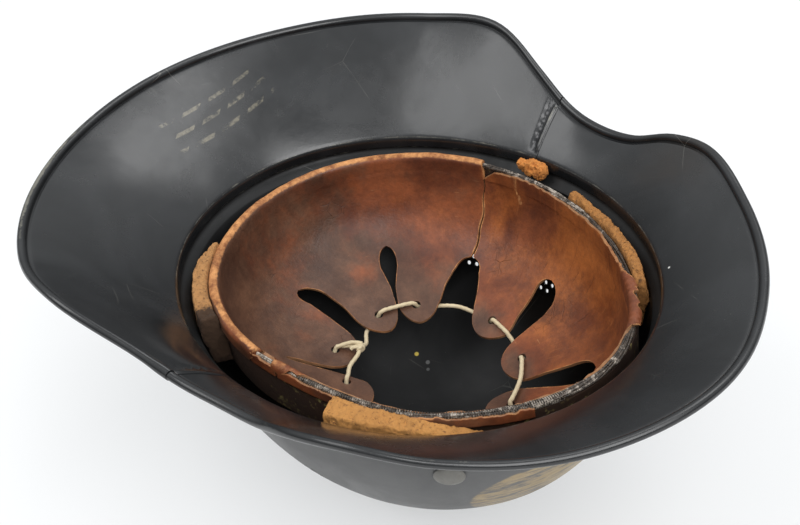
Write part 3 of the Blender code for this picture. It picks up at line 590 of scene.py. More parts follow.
class Paint:
    """A material with a Principled shader, built node by node."""

    def __init__(self, name):
        self.material = bpy.data.materials.new(name)
        self.material.use_nodes = True
        self.tree = self.material.node_tree
        self.shader = self.tree.nodes["Principled BSDF"]
        self.place = self.node("TexCoord").outputs["Object"]
        self.base = None

    def node(self, kind, inputs=None, **settings):
        made = self.tree.nodes.new("ShaderNode" + kind)
        for key, value in settings.items():
            setattr(made, key, value)
        for key, value in (inputs or {}).items():
            self.put(made.inputs[key], value)
        return made

    def put(self, socket, value):
        if isinstance(value, bpy.types.NodeSocket):
            self.tree.links.new(value, socket)
        elif isinstance(value, tuple) and len(value) == 3 and socket.type == "RGBA":
            socket.default_value = (*value, 1)
        else:
            socket.default_value = value

    def set(self, key, value):
        self.put(self.shader.inputs[key], value)

    def noise(self, scale, detail=4, rough=0.6, place=None, warp=0):
        inputs = {"Scale": scale, "Detail": detail, "Roughness": rough, "Distortion": warp}
        inputs["Vector"] = place or self.place
        return self.node("TexNoise", inputs).outputs["Fac"]

    def cells(self, scale, feature="F1", place=None):
        inputs = {"Scale": scale, "Vector": place or self.place}
        return self.node("TexVoronoi", inputs, feature=feature).outputs["Distance"]

    def stretched(self, x, y, z):
        inputs = {"Vector": self.place, "Scale": (x, y, z)}
        return self.node("Mapping", inputs).outputs["Vector"]

    def warped(self, scale, amount):
        """The object's own place, pushed about by noise."""
        shift = self.node("TexNoise", {"Scale": scale, "Vector": self.place}).outputs["Color"]
        inputs = {0: shift, 1: (amount, amount, amount), 2: self.place}
        return self.node("VectorMath", inputs, operation="MULTIPLY_ADD").outputs["Vector"]

    def field(self, first, first_scale, second, second_scale):
        """A place made of two of the mesh's own values, for streaks that follow its shape."""
        x = self.times(self.value(first), first_scale)
        y = self.times(self.value(second), second_scale)
        return self.node("CombineXYZ", {"X": x, "Y": y}).outputs["Vector"]

    def value(self, name):
        return self.node("Attribute", attribute_name=name).outputs["Fac"]

    def ramp(self, value, low, high, start=0, end=1):
        inputs = {0: value, 1: low, 2: high, 3: start, 4: end}
        made = self.node("MapRange", inputs, interpolation_type="SMOOTHSTEP")
        return made.outputs[0]

    def blots(self, scale, detail, rough, low, high, end=1):
        """Soft blots of noise, 0 where it is below low and end where it is above high."""
        return self.ramp(self.noise(scale, detail, rough), low, high, 0, end)

    def maths(self, operation, a, b=0):
        return self.node("Math", {0: a, 1: b}, operation=operation).outputs[0]

    def times(self, a, b):
        return self.maths("MULTIPLY", a, b)

    def plus(self, a, b):
        return self.maths("ADD", a, b)

    def minus(self, a, b):
        return self.maths("SUBTRACT", a, b)

    def mix(self, factor, a, b):
        return self.node("Mix", {0: factor, 6: a, 7: b}, data_type="RGBA").outputs[2]

    def coat(self, factor, colour):
        """Lays a colour over the base colour so far."""
        self.base = self.mix(factor, self.base, colour)
        self.set("Base Color", self.base)

    def near(self, spot, radius):
        """1 inside radius (mm) of a spot (mm) and 0 outside."""
        where = tuple(c * MM for c in spot)
        gap = self.node("VectorMath", {0: self.place, 1: where}, operation="DISTANCE")
        return self.ramp(gap.outputs["Value"], radius * MM * 1.3, radius * MM * 0.8)

    def bump(self, *layers):
        """Bump from (height, distance in mm) pairs."""
        normal = None
        for height, distance in layers:
            inputs = {"Height": height, "Distance": distance * MM, "Strength": 1}
            if normal:
                inputs["Normal"] = normal
            normal = self.node("Bump", inputs).outputs["Normal"]
        self.set("Normal", normal)


def steel_paint(name, tint, marks, scuffed, dull):
    """Old black enamel: clouded gloss, scuffs, dust, edges rubbed through to steel, painted highlight lines
    on the lips, and a painted reflection on the dome's outer face.
    """
    p = Paint(name)
    cloud = p.noise(17, 8, 0.62, warp=1.2)
    p.base = p.mix(p.ramp(cloud, 0.35, 0.7), tint, tuple(c * 1.7 + 0.003 for c in tint))
    brown = p.blots(11, 5, 0.6, 0.55, 0.75, 0.5)
    p.coat(brown, (0.028, 0.019, 0.013))
    # The dome's outer face is painted lighter grey: a painted reflection of the pale floor.
    painted_reflection = p.ramp(p.value("outer"), 0.3, 0.7, 0, 0.85)
    p.coat(painted_reflection, p.mix(p.noise(30, 7, 0.7), (0.092, 0.093, 0.095), (0.165, 0.165, 0.163)))
    scuff = p.noise(48, 9, 0.78, p.stretched(1, 3, 1), 2)
    scuff = p.ramp(scuff, 0.66, 0.82, 0, scuffed)
    p.coat(scuff, (0.075, 0.073, 0.068))
    hair = p.ramp(p.cells(34, "DISTANCE_TO_EDGE", p.warped(5, 0.05)), 0.006, 0.002, 0, 0.5)
    hair = p.times(hair, p.ramp(p.noise(21, 3), 0.55, 0.68))
    p.coat(hair, (0.14, 0.135, 0.12))
    dust = p.ramp(p.cells(420), 0.07, 0.03, 0, 0.4)
    dust = p.times(dust, p.ramp(p.noise(35), 0.5, 0.62))
    p.coat(dust, (0.3, 0.28, 0.24))
    # Paint rubbed through to steel at worn edges; the wear values also carry painted highlight lines along
    # the lips and the ledge.
    jagged = p.minus(p.noise(150, 8, 0.75), 0.5)
    edge = p.plus(p.value("wear"), p.times(jagged, 1.1))
    edge = p.ramp(edge, 0.52, 0.84, 0, 0.85)
    p.coat(edge, p.mix(p.noise(60), (0.11, 0.105, 0.085), (0.3, 0.285, 0.24)))
    for spot, radius, colour in marks:
        p.coat(p.near(spot, radius), colour)
    p.set("Metallic", p.times(edge, 0.25))
    gloss = p.ramp(p.noise(26, 8, 0.66, warp=0.4), 0.32, 0.72, 0.15, 0.33)
    rough = p.plus(gloss, p.times(scuff, 0.5))
    p.set("Roughness", p.plus(rough, dull))
    p.set("Specular IOR Level", 0.66 - 1.6 * dull)
    p.bump((p.noise(900, 2), 0.012), (p.noise(120, 6, 0.6), 0.05), (dust, 0.05))
    return p


def leather_paint(name, edge=False):
    """Old brown leather: grey, red or orange by its tone, stained, rubbed and creased, with painted shade in
    the creases.
    """
    p = Paint(name)
    tone = p.plus(p.value("tone"), p.ramp(p.noise(17, 6, 0.65), 0.3, 0.7, -0.3, 0.3))
    patch = p.ramp(p.noise(31, 8, 0.66, warp=0.3), 0.32, 0.7)
    grey = p.mix(patch, (0.072, 0.034, 0.021), (0.17, 0.083, 0.048))
    red = p.mix(patch, (0.108, 0.029, 0.013), (0.29, 0.082, 0.029))
    orange = p.mix(patch, (0.19, 0.048, 0.013), (0.47, 0.145, 0.035))
    p.base = p.mix(p.ramp(tone, 0.05, 0.5), grey, red)
    p.coat(p.ramp(tone, 0.55, 1), orange)
    streak = p.noise(1, 6, 0.7, p.field("around", 0.55, "run", 0.045))
    creased = p.ramp(tone, 0.45, 0.9, 0.08, 0.55)
    # Dark streaks along the creases are painted shade.
    dark = p.times(p.ramp(streak, 0.56, 0.74), creased)
    p.coat(dark, (0.06, 0.022, 0.012))
    light = p.times(p.ramp(streak, 0.43, 0.28), creased)
    p.coat(light, (0.48, 0.17, 0.055))
    stain = p.blots(23, 9, 0.7, 0.5, 0.74, 0.7)
    p.coat(stain, (0.055, 0.022, 0.013))
    lines = p.cells(150, "DISTANCE_TO_EDGE", p.warped(40, 0.012))
    crack = p.times(p.ramp(lines, 0.03, 0), p.ramp(p.noise(24), 0.55, 0.68, 0, 0.6))
    p.coat(crack, (0.04, 0.018, 0.012))
    rub = p.noise(70, 9, 0.78, p.stretched(1, 1, 2.2), 1.6)
    p.coat(p.ramp(rub, 0.62, 0.78, 0, 0.45), (0.42, 0.17, 0.065))
    fine = p.noise(420, 5, 0.7)
    p.coat(p.ramp(fine, 0.35, 0.65, 0, 0.22), (0.03, 0.015, 0.01))
    scratch = p.noise(1, 2, 0.5, p.field("around", 0.1, "run", 1.1))
    scratch = p.times(p.ramp(scratch, 0.7, 0.74), p.ramp(p.noise(30), 0.55, 0.62, 0, 0.5))
    p.coat(scratch, (0.42, 0.2, 0.085))
    jagged = p.minus(p.noise(85, 9, 0.78, warp=0.5), 0.5)
    wear = p.plus(p.value("wear"), p.times(jagged, 1.5))
    wear = p.ramp(wear, 0.3, 0.72)
    raw = p.mix(p.blots(120, 8, 0.78, 0.35, 0.66), (0.22, 0.075, 0.026), (0.66, 0.31, 0.115))
    raw = p.mix(p.blots(48, 8, 0.75, 0.56, 0.68, 0.85), raw, (0.07, 0.026, 0.013))
    p.coat(wear, raw)
    if edge:
        pale = p.mix(p.noise(300, 5), (0.1, 0.045, 0.024), (0.4, 0.21, 0.1))
        p.coat(p.ramp(p.noise(60, 5), 0.4, 0.55, 0.3, 0.9), pale)
    p.set("Specular IOR Level", 0.36)
    shine = p.ramp(p.noise(28, 6), 0.3, 0.7, 0.36, 0.58)
    p.set("Roughness", p.plus(shine, p.times(wear, 0.3)))
    grain = p.cells(850)
    p.bump((grain, 0.05), (fine, 0.1), (p.noise(60, 8, 0.65), 0.45), (dark, -0.25), (crack, -0.2))
    return p


def felt_paint(name, light, dark, speckle):
    p = Paint(name)
    p.base = p.mix(p.noise(120, 8, 0.75), dark, light)
    spots = p.blots(520, 6, 0.8, 0.54, 0.64, 0.85)
    p.coat(spots, speckle)
    soot = p.blots(45, 5, 0.6, 0.56, 0.75, 0.75)
    jagged = p.times(p.minus(p.noise(130, 7, 0.75), 0.5), 1.6)
    burnt = p.ramp(p.plus(p.value("soot"), jagged), 0.32, 0.62)
    p.coat(p.maths("MAXIMUM", soot, burnt), (0.05, 0.025, 0.012))
    p.set("Roughness", 0.95)
    p.bump((p.noise(700, 6, 0.75), 0.5), (p.cells(260, place=p.warped(90, 0.006)), 0.5))
    return p


def cord_paint(name):
    p = Paint(name)
    p.base = p.mix(p.noise(150, 5), (0.47, 0.37, 0.22), (0.74, 0.64, 0.44))
    dirt = p.blots(70, 6, 0.7, 0.58, 0.75, 0.6)
    p.coat(dirt, (0.28, 0.18, 0.09))
    p.set("Roughness", 0.85)
    p.bump((p.noise(1500, 4), 0.1))
    return p


def strand_paint(name):
    """Tarred twine, black and shining, with pale flecks: bare fibre where it has frayed, and painted
    highlights on the shining strands.
    """
    p = Paint(name)
    grain = p.noise(1, 7, 0.75, p.field("around", 1.3, "strand", 7.3))
    p.base = p.mix(p.ramp(grain, 0.35, 0.65), (0.012, 0.01, 0.009), (0.085, 0.062, 0.045))
    # Pale flecks: partly bare frayed fibre, partly painted highlights.
    fibre_and_glints = p.plus(p.noise(230, 8, 0.8), p.times(p.value("pale"), 0.2))
    fibre_and_glints = p.ramp(p.plus(fibre_and_glints, p.times(grain, 0.3)), 0.75, 0.9)
    p.coat(fibre_and_glints, p.mix(grain, (0.2, 0.14, 0.095), (0.62, 0.57, 0.5)))
    p.set("Roughness", p.ramp(p.noise(90, 5), 0.35, 0.65, 0.15, 0.5))
    p.bump((p.noise(1100, 5), 0.1), (grain, 0.25))
    return p


def fibre_paint(name):
    p = Paint(name)
    p.base = p.mix(p.noise(50, 7, 0.7), (0.014, 0.008, 0.006), (0.055, 0.024, 0.012))
    mould = p.blots(210, 5, 0.7, 0.56, 0.62, 0.75)
    mould = p.times(mould, p.ramp(p.noise(60), 0.45, 0.6))
    p.coat(mould, (0.34, 0.28, 0.1))
    p.set("Roughness", 0.7)
    p.bump((p.noise(400, 6), 0.25), (p.noise(80), 0.4))
    return p


def pin_paint(name):
    p = Paint(name)
    p.base = p.mix(p.noise(160, 7, 0.7), (0.11, 0.108, 0.1), (0.25, 0.24, 0.215))
    rust = p.blots(240, 6, 0.7, 0.6, 0.74, 0.7)
    p.coat(rust, (0.14, 0.075, 0.04))
    p.set("Metallic", p.ramp(rust, 0, 0.8, 0.35, 0.1))
    p.set("Roughness", p.ramp(p.noise(120), 0.3, 0.7, 0.35, 0.6))
    p.bump((p.noise(600, 5), 0.05))
    return p


def worn_patch(p):
    """A plain streaked oval of old pale paint on the dome, with nothing drawn on it."""
    split = p.node("SeparateXYZ", {"Vector": p.place})
    turn = p.maths("ARCTAN2", split.outputs["Y"], split.outputs["X"])
    x = p.times(p.minus(turn, math.radians(-11.5)), 1.75)
    y = p.times(p.minus(split.outputs["Z"], 0.051), 25)
    gap = p.maths("SQRT", p.plus(p.times(x, x), p.times(y, y)))
    inside = p.times(p.ramp(gap, 0.7, 0.67), p.ramp(p.value("outer"), 0.4, 0.6))
    worn = p.ramp(p.noise(60, 9, 0.78, p.stretched(1, 1, 6)), 0.4, 0.56)
    tan = p.mix(p.noise(90, 7, 0.7, p.stretched(1, 1, 9)), (0.2, 0.13, 0.06), (0.5, 0.4, 0.24))
    p.coat(p.times(inside, worn), tan)


def faint_dashes(p):
    """Three short rows of rubbed pale dashes on the neck guard, which spell nothing."""
    split = p.node("SeparateXYZ", {"Vector": p.place})
    x, y = split.outputs["X"], split.outputs["Y"]
    marks = None
    for row in (-0.148, -0.141, -0.134):
        gap = p.maths("ABSOLUTE", p.minus(x, row))
        line = p.ramp(gap, 0.0011, 0.0006)
        marks = line if marks is None else p.maths("MAXIMUM", marks, line)
    ends = p.ramp(p.maths("ABSOLUTE", p.minus(y, 0.013)), 0.031, 0.028)
    beat = p.maths("FRACT", p.plus(p.times(y, 62), p.times(x, 91)))
    marks = p.times(p.times(marks, ends), p.ramp(beat, 0.3, 0.34))
    marks = p.times(marks, p.blots(210, 7, 0.7, 0.4, 0.6, 0.42))
    p.coat(marks, (0.33, 0.29, 0.2))


# ---------------------------------------------------------------- the pieces


def settle(obj, body, slot, *nodes):
    """Puts a finished piece on its body, in place of these CAD nodes."""
    if "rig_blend" not in obj:
        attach(obj, body)
    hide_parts(*nodes)
    return obj


def make_skirts(paint):
    """The visor, with the strip at each end that the neck guard laps, and the neck guard."""
    half = np.concatenate((np.arange(0, 92.5, 1.5), (93, 93.7, VISOR_END + 0.1)))
    angles = np.concatenate((-half[:0:-1], half))
    grid, wear = skirt_surface(angles)
    grids = Grids().add(grid, wear=wear)
    for side in (1, -1):
        rows = []
        for angle, upper in ((93, 0.3), (93.9, 0.3), (94.25, 1.35), (95.5, 1.3), (97.5, 1.3)):
            line = skirt_line(side * angle)
            runs = np.linspace(15.5, line[1][-1] - 8, 20)
            around = np.concatenate((runs, runs[::-1]))
            drop = np.repeat((-upper, -max(upper + 0.6, 0.9)), 20)
            flat = along(line, around, drop)
            rows.append(polar(side * angle, flat[:, 0], flat[:, 1]))
        grids.add(np.array(rows), caps=False, wear=0)
    settle(grids.build("visor_shell", paint), "helmet", "shell_paint", "front_visor")
    near = GUARD_START + np.concatenate((np.arange(0, 2.6, 0.13), np.arange(2.7, 5.6, 0.45)))
    half = np.concatenate((near, np.arange(101.5, 180.1, 1.5)))
    grid, wear = skirt_surface(np.concatenate((half, -half[-2::-1])), GUARD_START)
    guard = Grids().add(grid, wear=wear).build("neck_guard_shell", paint)
    settle(guard, "helmet", "shell_paint", "rear_neck_guard")


def dome_ring(angles, share, skin, ease=0.25):
    """Points round the dome at a share of its radius, skin inside its outer face."""
    height = (DOME_RISE - skin) * (1 - math.sqrt(1 - share**2)) + skin - DOME_FLAT
    height = (height + math.hypot(height, 2 * ease)) / 2
    ring = polar(angles, mouth_radius(angles, WALL_INSET + skin) * share, height)
    out = unit(ring - (0, 0, 110))
    waves = 0.3 * lumps(ring, 48, 7) + 0.12 * lumps(ring, 19, 8)
    return ring + out * (waves * min(max(height - 4, 0) / 20, 1))[:, None]


def dome_spot(x, y):
    """The point of the dome's inner face above or below this place."""
    angle = np.degrees([math.atan2(y, x)])
    share = math.hypot(x, y) / float(mouth_radius(angle[0], WALL_INSET + SHEET))
    return tuple(dome_ring(angle, share, SHEET)[0])


def make_dome(paint):
    """The dome with its raised step and flange, one closed surface, and its vent holes."""
    angles = np.arange(0, 360, 1.5)

    def mouth(offset, height):
        return polar(angles, mouth_radius(angles) + offset, height)

    def skirt(run, lift):
        spots = [along(skirt_line(angle), run, lift) for angle in angles]
        return np.array([polar(a, *spot) for a, spot in zip(angles, spots)])

    shares = np.concatenate((np.sin(np.linspace(0.02, 1.32, 44)), (0.981, 0.993)))
    back, face = -SHEET - 0.3, -2 * SHEET - 0.3
    rings = [dome_ring(angles, share, 0) for share in shares]
    bead = ((-2.5, 97), (-1.6, 97.5), (-0.6, 98.3), (0.5, 99), (1.6, 99.9), (2.3, 100.9))
    bead += ((2.6, 102), (2.7, 103.2), (2.6, 104.6), (2.6, 106))
    rings += [mouth(*spot) for spot in bead]
    rings += [skirt(run, face) for run in (6, 7.5, 9, 11, FLANGE_END)]
    rings += [skirt(run, back) for run in (FLANGE_END, 11, 9, 7.5, 6, 4.5, 3)]
    ledge = ((1.3, 104), (1.3, 102.4), (1, 101.4), (0.2, 100.6), (-0.6, 100.1))
    ledge += ((-1.8, 99.2), (-2.8, 98.4), (-3.4, 97.8))
    rings += [mouth(*spot) for spot in ledge]
    rings += [dome_ring(angles, share, SHEET, 0.6) for share in shares[::-1]]
    grid = np.array(rings)
    outer = np.zeros(grid.shape[:2])
    outer[: len(shares)] = 1
    wear = np.zeros(grid.shape[:2])
    # A thin painted highlight line along the ledge's corner inside the step, carried in the wear values.
    corner = len(shares) + len(bead) + 12
    wear[corner : corner + 2] = 0.6
    dome = Grids().add(grid, wear=wear, outer=outer).build("crown_dome", paint)
    places, axes = [], []
    for angle in VENT_ANGLES:
        centre, out, across = wall_frame(angle, VENT_HEIGHT)
        up = np.cross(out, across)
        for k in range(7):
            turn = math.radians(60 * k)
            arm = (across * math.cos(turn) + up * math.sin(turn)) * VENT_RING * (k < 6)
            places.append(centre + arm)
            axes.append(out)
    cut(dome, rods("vents", places, axes, VENT_RADIUS, 6), 35)
    settle(dome, "helmet", "dome_paint", "crown_shell")


def wall_frame(angle, height):
    """A point on the dome's outside, the way out from it, and the way round it."""
    share = math.sqrt(1 - (1 - (height + DOME_FLAT) / DOME_RISE) ** 2)

    def place(turn, part):
        radius = mouth_radius(turn, WALL_INSET) * part
        return polar(turn, radius, DOME_RISE * (1 - math.sqrt(1 - part**2)) - DOME_FLAT)

    sideways = place(angle + 0.5, share) - place(angle - 0.5, share)
    upwards = place(angle, share + 0.002) - place(angle, share - 0.002)
    return place(angle, share), unit(np.cross(sideways, upwards)), unit(sideways)


def slot_side(number, run, side):
    """Angles of a slot's edge: joined or torn leather, then the round top and the sides."""
    top, top_angle, angles, halves = SLOTS[number]
    middle = np.interp(run, (top, *SLOT_RUNS), (top_angle, *angles))
    slit = 0 * run
    if number == TORN_SLOT:
        middle = middle - 1.7 * np.clip(1 - run / top, 0, 1) ** 0.7
        middle = middle + 0.3 * np.sin(run / 2.3) * (run < top)
        slit = 0.16 + 0.9 * np.exp(-run / 4) + 0.25 * np.clip((run - 22) / 20, 0, 1)
    opening = np.clip((run - top) / SLOT_ROUND, 0, 1)
    wide = np.interp(run, SLOT_RUNS, halves)
    return middle + side * (slit + (wide - slit) * np.sqrt(1 - (1 - opening) ** 2))


def leather_tone(angle, run):
    """Tone of the leather, which turns grey towards the tips of the tongues."""
    tone = spline(TONE, angle % 360, 1)
    return tone * (1 - 0.85 * np.clip((run - 56) / 14, 0, 1))


def make_leather(paint, edge_paint):
    """The band, what is left of its fold, and the eight tongues: one sheet, then thickened."""
    columns = 44
    share = np.linspace(0, 1, columns + 1)
    share = share - 0.035 * np.sin(2 * math.pi * share) / math.pi
    fold = np.linspace(1, 0, 26)[:-1]
    runs = np.concatenate(
        (
            np.linspace(FOLD_START, 37, 24)[:-1],
            np.linspace(37, 52, 30)[:-1],
            np.linspace(52, 66, 14)[:-1],
            66 + 13 * np.sin(np.linspace(0, 1, 24) * math.pi / 2),
        )
    )
    rows = np.concatenate((np.full(len(fold), FOLD_START), runs))
    grids = Grids()
    for number in range(8):
        first = slot_side(number - 1, rows, 1) - (360 if number == 0 else 0)
        last = slot_side(number, rows, -1)
        inward = np.clip((rows - (TIP_END - TIP_ROUND)) / TIP_ROUND, 0, 1)
        squeeze = np.maximum(np.sqrt(1 - inward**2), 0.03)
        middle, half = (first + last) / 2, (last - first) / 2 * squeeze
        angle = middle[:, None] + half[:, None] * (2 * share - 1)
        run = np.repeat(rows[:, None], columns + 1, 1)
        place = leather_place(angle, run, 0)
        wrapped = wrap(angle[: len(fold)])
        left = table_at(FOLD_LEFT, wrapped)
        bite = 0.045 * ragged(wrapped, 5.5, 9) + 0.03 * ragged(wrapped, 1.7, 10)
        bite = (bite + 0.022 * ragged(wrapped, 0.6, 11)) * table_at(SHREDDED, wrapped)
        left = np.where(left < 0.97, np.clip(left + bite, 0.02, 0.97), left)
        way = fold[:, None] * left * FOLD_WAY
        place[: len(fold)] = fold_place(angle[: len(fold)], way)
        wear = 0.42 * np.exp(-run / 3)
        open_edge = np.minimum(share, 1 - share)[None, :] * (last - first)[:, None] * 1.2
        tops = (SLOTS[number - 1][0], SLOTS[number][0])
        opened = run > np.where(share < 0.5, tops[0], tops[1])[None, :] + 0.5
        wear = np.maximum(wear, 0.62 * np.exp(-open_edge / 0.6) * opened)
        over = np.degrees((way - FOLD_RISE) / FOLD_MIDDLE)
        dark = table_at(DARK_SIDE, wrapped)
        crest = hump(over, 105 - 28 * dark, 72 - 27 * dark, 4) * table_at(RUBBED, wrapped)
        torn = 0.62 * np.exp(-(left * FOLD_WAY - way) / 0.9)
        wear[: len(fold)] = np.maximum(0.92 * crest, torn * (left < 0.97))
        scar = hump(angle, 90 + np.sin(run / 3), 0.6) * (run < 15)
        torn_slot = number in (TORN_SLOT, TORN_SLOT + 1)
        slit = np.exp(-open_edge / 0.45) * np.clip((run - 8) / 14, 0, 1) * (run < 54) * 0.8
        side = share > 0.5 if number == TORN_SLOT else share < 0.5
        wear = np.maximum(np.maximum(wear, 0.8 * scar), slit * torn_slot * side[None, :])
        tone = leather_tone(angle, run)
        tone[: len(fold)] *= table_at(DARK_FRONT, wrapped)
        values = {"wear": wear, "tone": tone, "around": angle * 1.3, "run": run}
        grids.add(place, columns=False, caps=False, **values)
    leather = grids.build("leather_liner", paint, edge_paint, weld=0.01)
    thicken(leather, LEATHER, True)
    places = [leather_place(a, HOLE_RUN, 0) for a in HOLE_ANGLES]
    axes = [leather_place(a, HOLE_RUN, 1) - leather_place(a, HOLE_RUN, 0) for a in HOLE_ANGLES]
    cut(leather, rods("lace_holes", places, axes, HOLE_RADIUS, 3), 40)
    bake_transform(leather, "helmet", "liner_crown", start=(0, 0, 0.080), end=(0, 0, 0.064))
    tongues = [f"liner_tongue_{k + 1}" for k in range(8)]
    settle(leather, "helmet", "leather", "sweatband", *tongues)


def wound(angles, turn, reach, width, sides, closed=False):
    """A thread round the liner, at a turn and reach from the middle of the hem's core."""
    mean = CORE_MEAN + reach * np.cos(turn)
    height = CORE_HEIGHT + reach * np.sin(turn)
    return tube(liner_point(angles, mean, height), width, sides, closed)


def make_hem(paint, edge_paint, strands):
    """What is left of the fold's outer side, and the cord bundle that the hem went round."""
    for number, (first, last, top) in enumerate(((-96, -86.5, 0.88), (-86, -22, 0.93))):
        angles = np.arange(first, last, 0.4)
        bite = ragged(angles, 4.5, 11) + 0.8 * ragged(angles, 1.6, 12)
        bite = bite + 0.5 * ragged(angles, 0.6, 13)
        low = FOLD_RISE + FOLD_ARC + FOLD_LEG * (0.92 + 0.08 * ragged(angles, 3, 14))
        high = np.minimum(FOLD_RISE + FOLD_ARC * (top + 0.09 * bite), low - 0.5)
        way = high + (low - high) * np.linspace(0, 1, 12)[:, None]
        grid = fold_place(np.broadcast_to(angles, way.shape), way)
        values = {"wear": 0.6 * np.exp(-(way - high) / 0.8), "tone": 0.34}
        values.update(around=angles * 1.3, run=way)
        strip = Grids().add(grid, columns=False, caps=False, **values)
        strip = strip.build(f"hem_outer_{number}", paint, edge_paint)
        thicken(strip, LEATHER * 0.9, False).data.shade_smooth()
        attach(strip, "helmet")
    angles = np.arange(0, 360, 0.6)
    pale = table_at(FRAYED, wrap(angles))
    swell = table_at(SWOLLEN, wrap(angles))
    grids = Grids()
    for k in range(11):
        x, z = 55.8 * np.cos(np.radians(angles)), 56 * np.sin(np.radians(angles))
        flat = np.stack((x, 57 * k + 0 * angles, z), -1)
        turn = np.radians(360 / 7 * k + angles * (4 if k % 3 else 6)) + 0.5 * lumps(flat, 9, 15)
        reach = 0.78 + 0.34 * lumps(flat, 7, 16) + 0.16 * lumps(flat, 2.5, 17)
        reach = reach * (1 if k < 7 else 0.55) * swell
        width = (0.44, 0.33, 0.5, 0.28)[k % 4] * (1 + 0.25 * lumps(flat, 3, 18)) * swell**0.5
        grid = wound(angles, turn, reach, width, 8, True)
        grids.add(grid, rows=True, around=angles[:, None], strand=k, pale=pale[:, None])
    settle(grids.build("hem_cord", strands, sharp=80), "helmet", "core", "hem_core")
    angles = np.linspace(-80, -14, 1300)
    turn = np.arange(len(angles)) * 2 * math.pi / 12.3 + 0.5 * ragged(angles, 2, 19)
    reach = 1.62 + 0.25 * ragged(angles, 3, 20)
    grid = wound(angles, turn, reach, 0.27, 6)
    values = {"around": angles[:, None] * 9, "pale": 0.5 + 0.5 * (angles[:, None] > -24)}
    thread = Grids().add(grid, strand=20, **values).build("hem_thread", strands)
    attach(thread, "helmet")


def make_hoop(paint):
    """The stiff hoop behind the band, slightly buckled."""
    angles = np.arange(0, 360, 1.25)
    top = HOOP_TOP + 0.25 * ragged(angles, 3, 15)
    low = HOOP_LOW + 0.3 * ragged(angles, 4, 16)
    rows = []
    for mean in (HOOP_IN, HOOP_OUT):
        share = np.linspace(0, 1, 14) if mean == HOOP_IN else np.linspace(1, 0, 14)
        for part in share:
            height = low + (top - low) * part
            bend = 0.18 * lumps(liner_point(angles, mean, height), 12, 17)
            rows.append(liner_point(angles, mean + bend * (0.3 < part < 0.7), height))
    grid = np.array(rows).transpose(1, 0, 2)
    hoop = Grids().add(grid, rows=True).build("fibre_hoop", paint, sharp=60)
    settle(hoop, "helmet", "fibre", "liner_hoop")


def liner_angle(angle):
    """The liner's own angle at a plain angle from the front."""
    own = np.arange(angle - 30, angle + 30, 0.25)
    points = liner_point(own, LINER_MEAN, 0)
    found = np.degrees(np.unwrap(np.arctan2(points[:, 1], points[:, 0])))
    found += 360 * round((angle - found[len(found) // 2]) / 360)
    return float(np.interp(angle, found, own))


def pad_outline(angle):
    """Corners of a pad's section: up the hoop's side, over the top, down the dome's."""
    own = liner_angle(angle)

    def dome_side(height, clearance, rise=0):
        share = math.sqrt(1 - (1 - (height + DOME_FLAT - SHEET) / (DOME_RISE - SHEET)) ** 2)
        radius = float(mouth_radius(angle, WALL_INSET + SHEET)) * share - clearance
        return polar(angle, radius, height + rise)

    fold = CORE_MEAN + CORE_RADIUS + 0.3 + (0.3 if 31 < angle < 76 else LEATHER + 0.3)
    near = ((HOOP_OUT + 0.4, 80.5), (HOOP_OUT + 0.4, FOLD_END - 1.5), (fold, FOLD_END))
    near += ((fold, 104.5), (fold + 0.8, 105.6))
    far = ((LEDGE_BOTTOM, 2, 8.2), (LEDGE_BOTTOM, 0.8), (88, 0.7), (80.5, 0.7))
    corners = [liner_point(own, *spot) for spot in near] + [dome_side(*spot) for spot in far]
    return np.array(corners)


def closed_outline(corners, count):
    """Points evenly round a closed outline."""
    loop = np.vstack((corners, corners[:1]))
    steps = distances(loop)
    at = np.linspace(0, steps[-1], count, endpoint=False)
    return np.stack([np.interp(at, steps, loop[:, k]) for k in range(3)], -1)


def crumble(grid, seed, coarse, fine):
    """Roughens a closed grid of points along its way out from the middle of each row."""
    out = unit(grid - grid.mean(1, keepdims=True))
    rough = coarse * (lumps(grid, 5, seed) + 0.5 * lumps(grid, 2.4, seed + 2))
    crumbs = fine * (1 - 2 * abs(lumps(grid, 1.1, seed + 1)))
    return grid + out * (rough + crumbs - 0.25 * coarse)[..., None]


# Felts: main colour, dark colour and speckle.
FELTS = {
    "tan_felt": ((0.6, 0.29, 0.08), (0.34, 0.15, 0.04), (0.15, 0.06, 0.02)),
    "brown_felt": ((0.5, 0.225, 0.06), (0.19, 0.075, 0.02), (0.09, 0.035, 0.012)),
    "pale_felt": ((0.54, 0.28, 0.105), (0.28, 0.125, 0.04), (0.05, 0.022, 0.01)),
    "crumbled_felt": ((0.66, 0.27, 0.06), (0.42, 0.14, 0.03), (0.22, 0.07, 0.02)),
}
# Pads: name, first and last angle, felt, seed, soot (at angle 0, and per degree),
# roughness (coarse, fine), droop of the last end in mm, and share by which the first narrows.
PADS = (
    ("pad_front_left", -68, -29, "tan_felt", 21, (0, 0), (0.7, 0.6), 7.5, 0),
    ("pad_front_right", 31, 76, "brown_felt", 23, (0.2, 0), (1.1, 0.75), 0, 0),
    ("pad_rear_left", -157, -122, "pale_felt", 25, (131 / 6, 1 / 6), (0.6, 0.6), 0, 0.75),
)


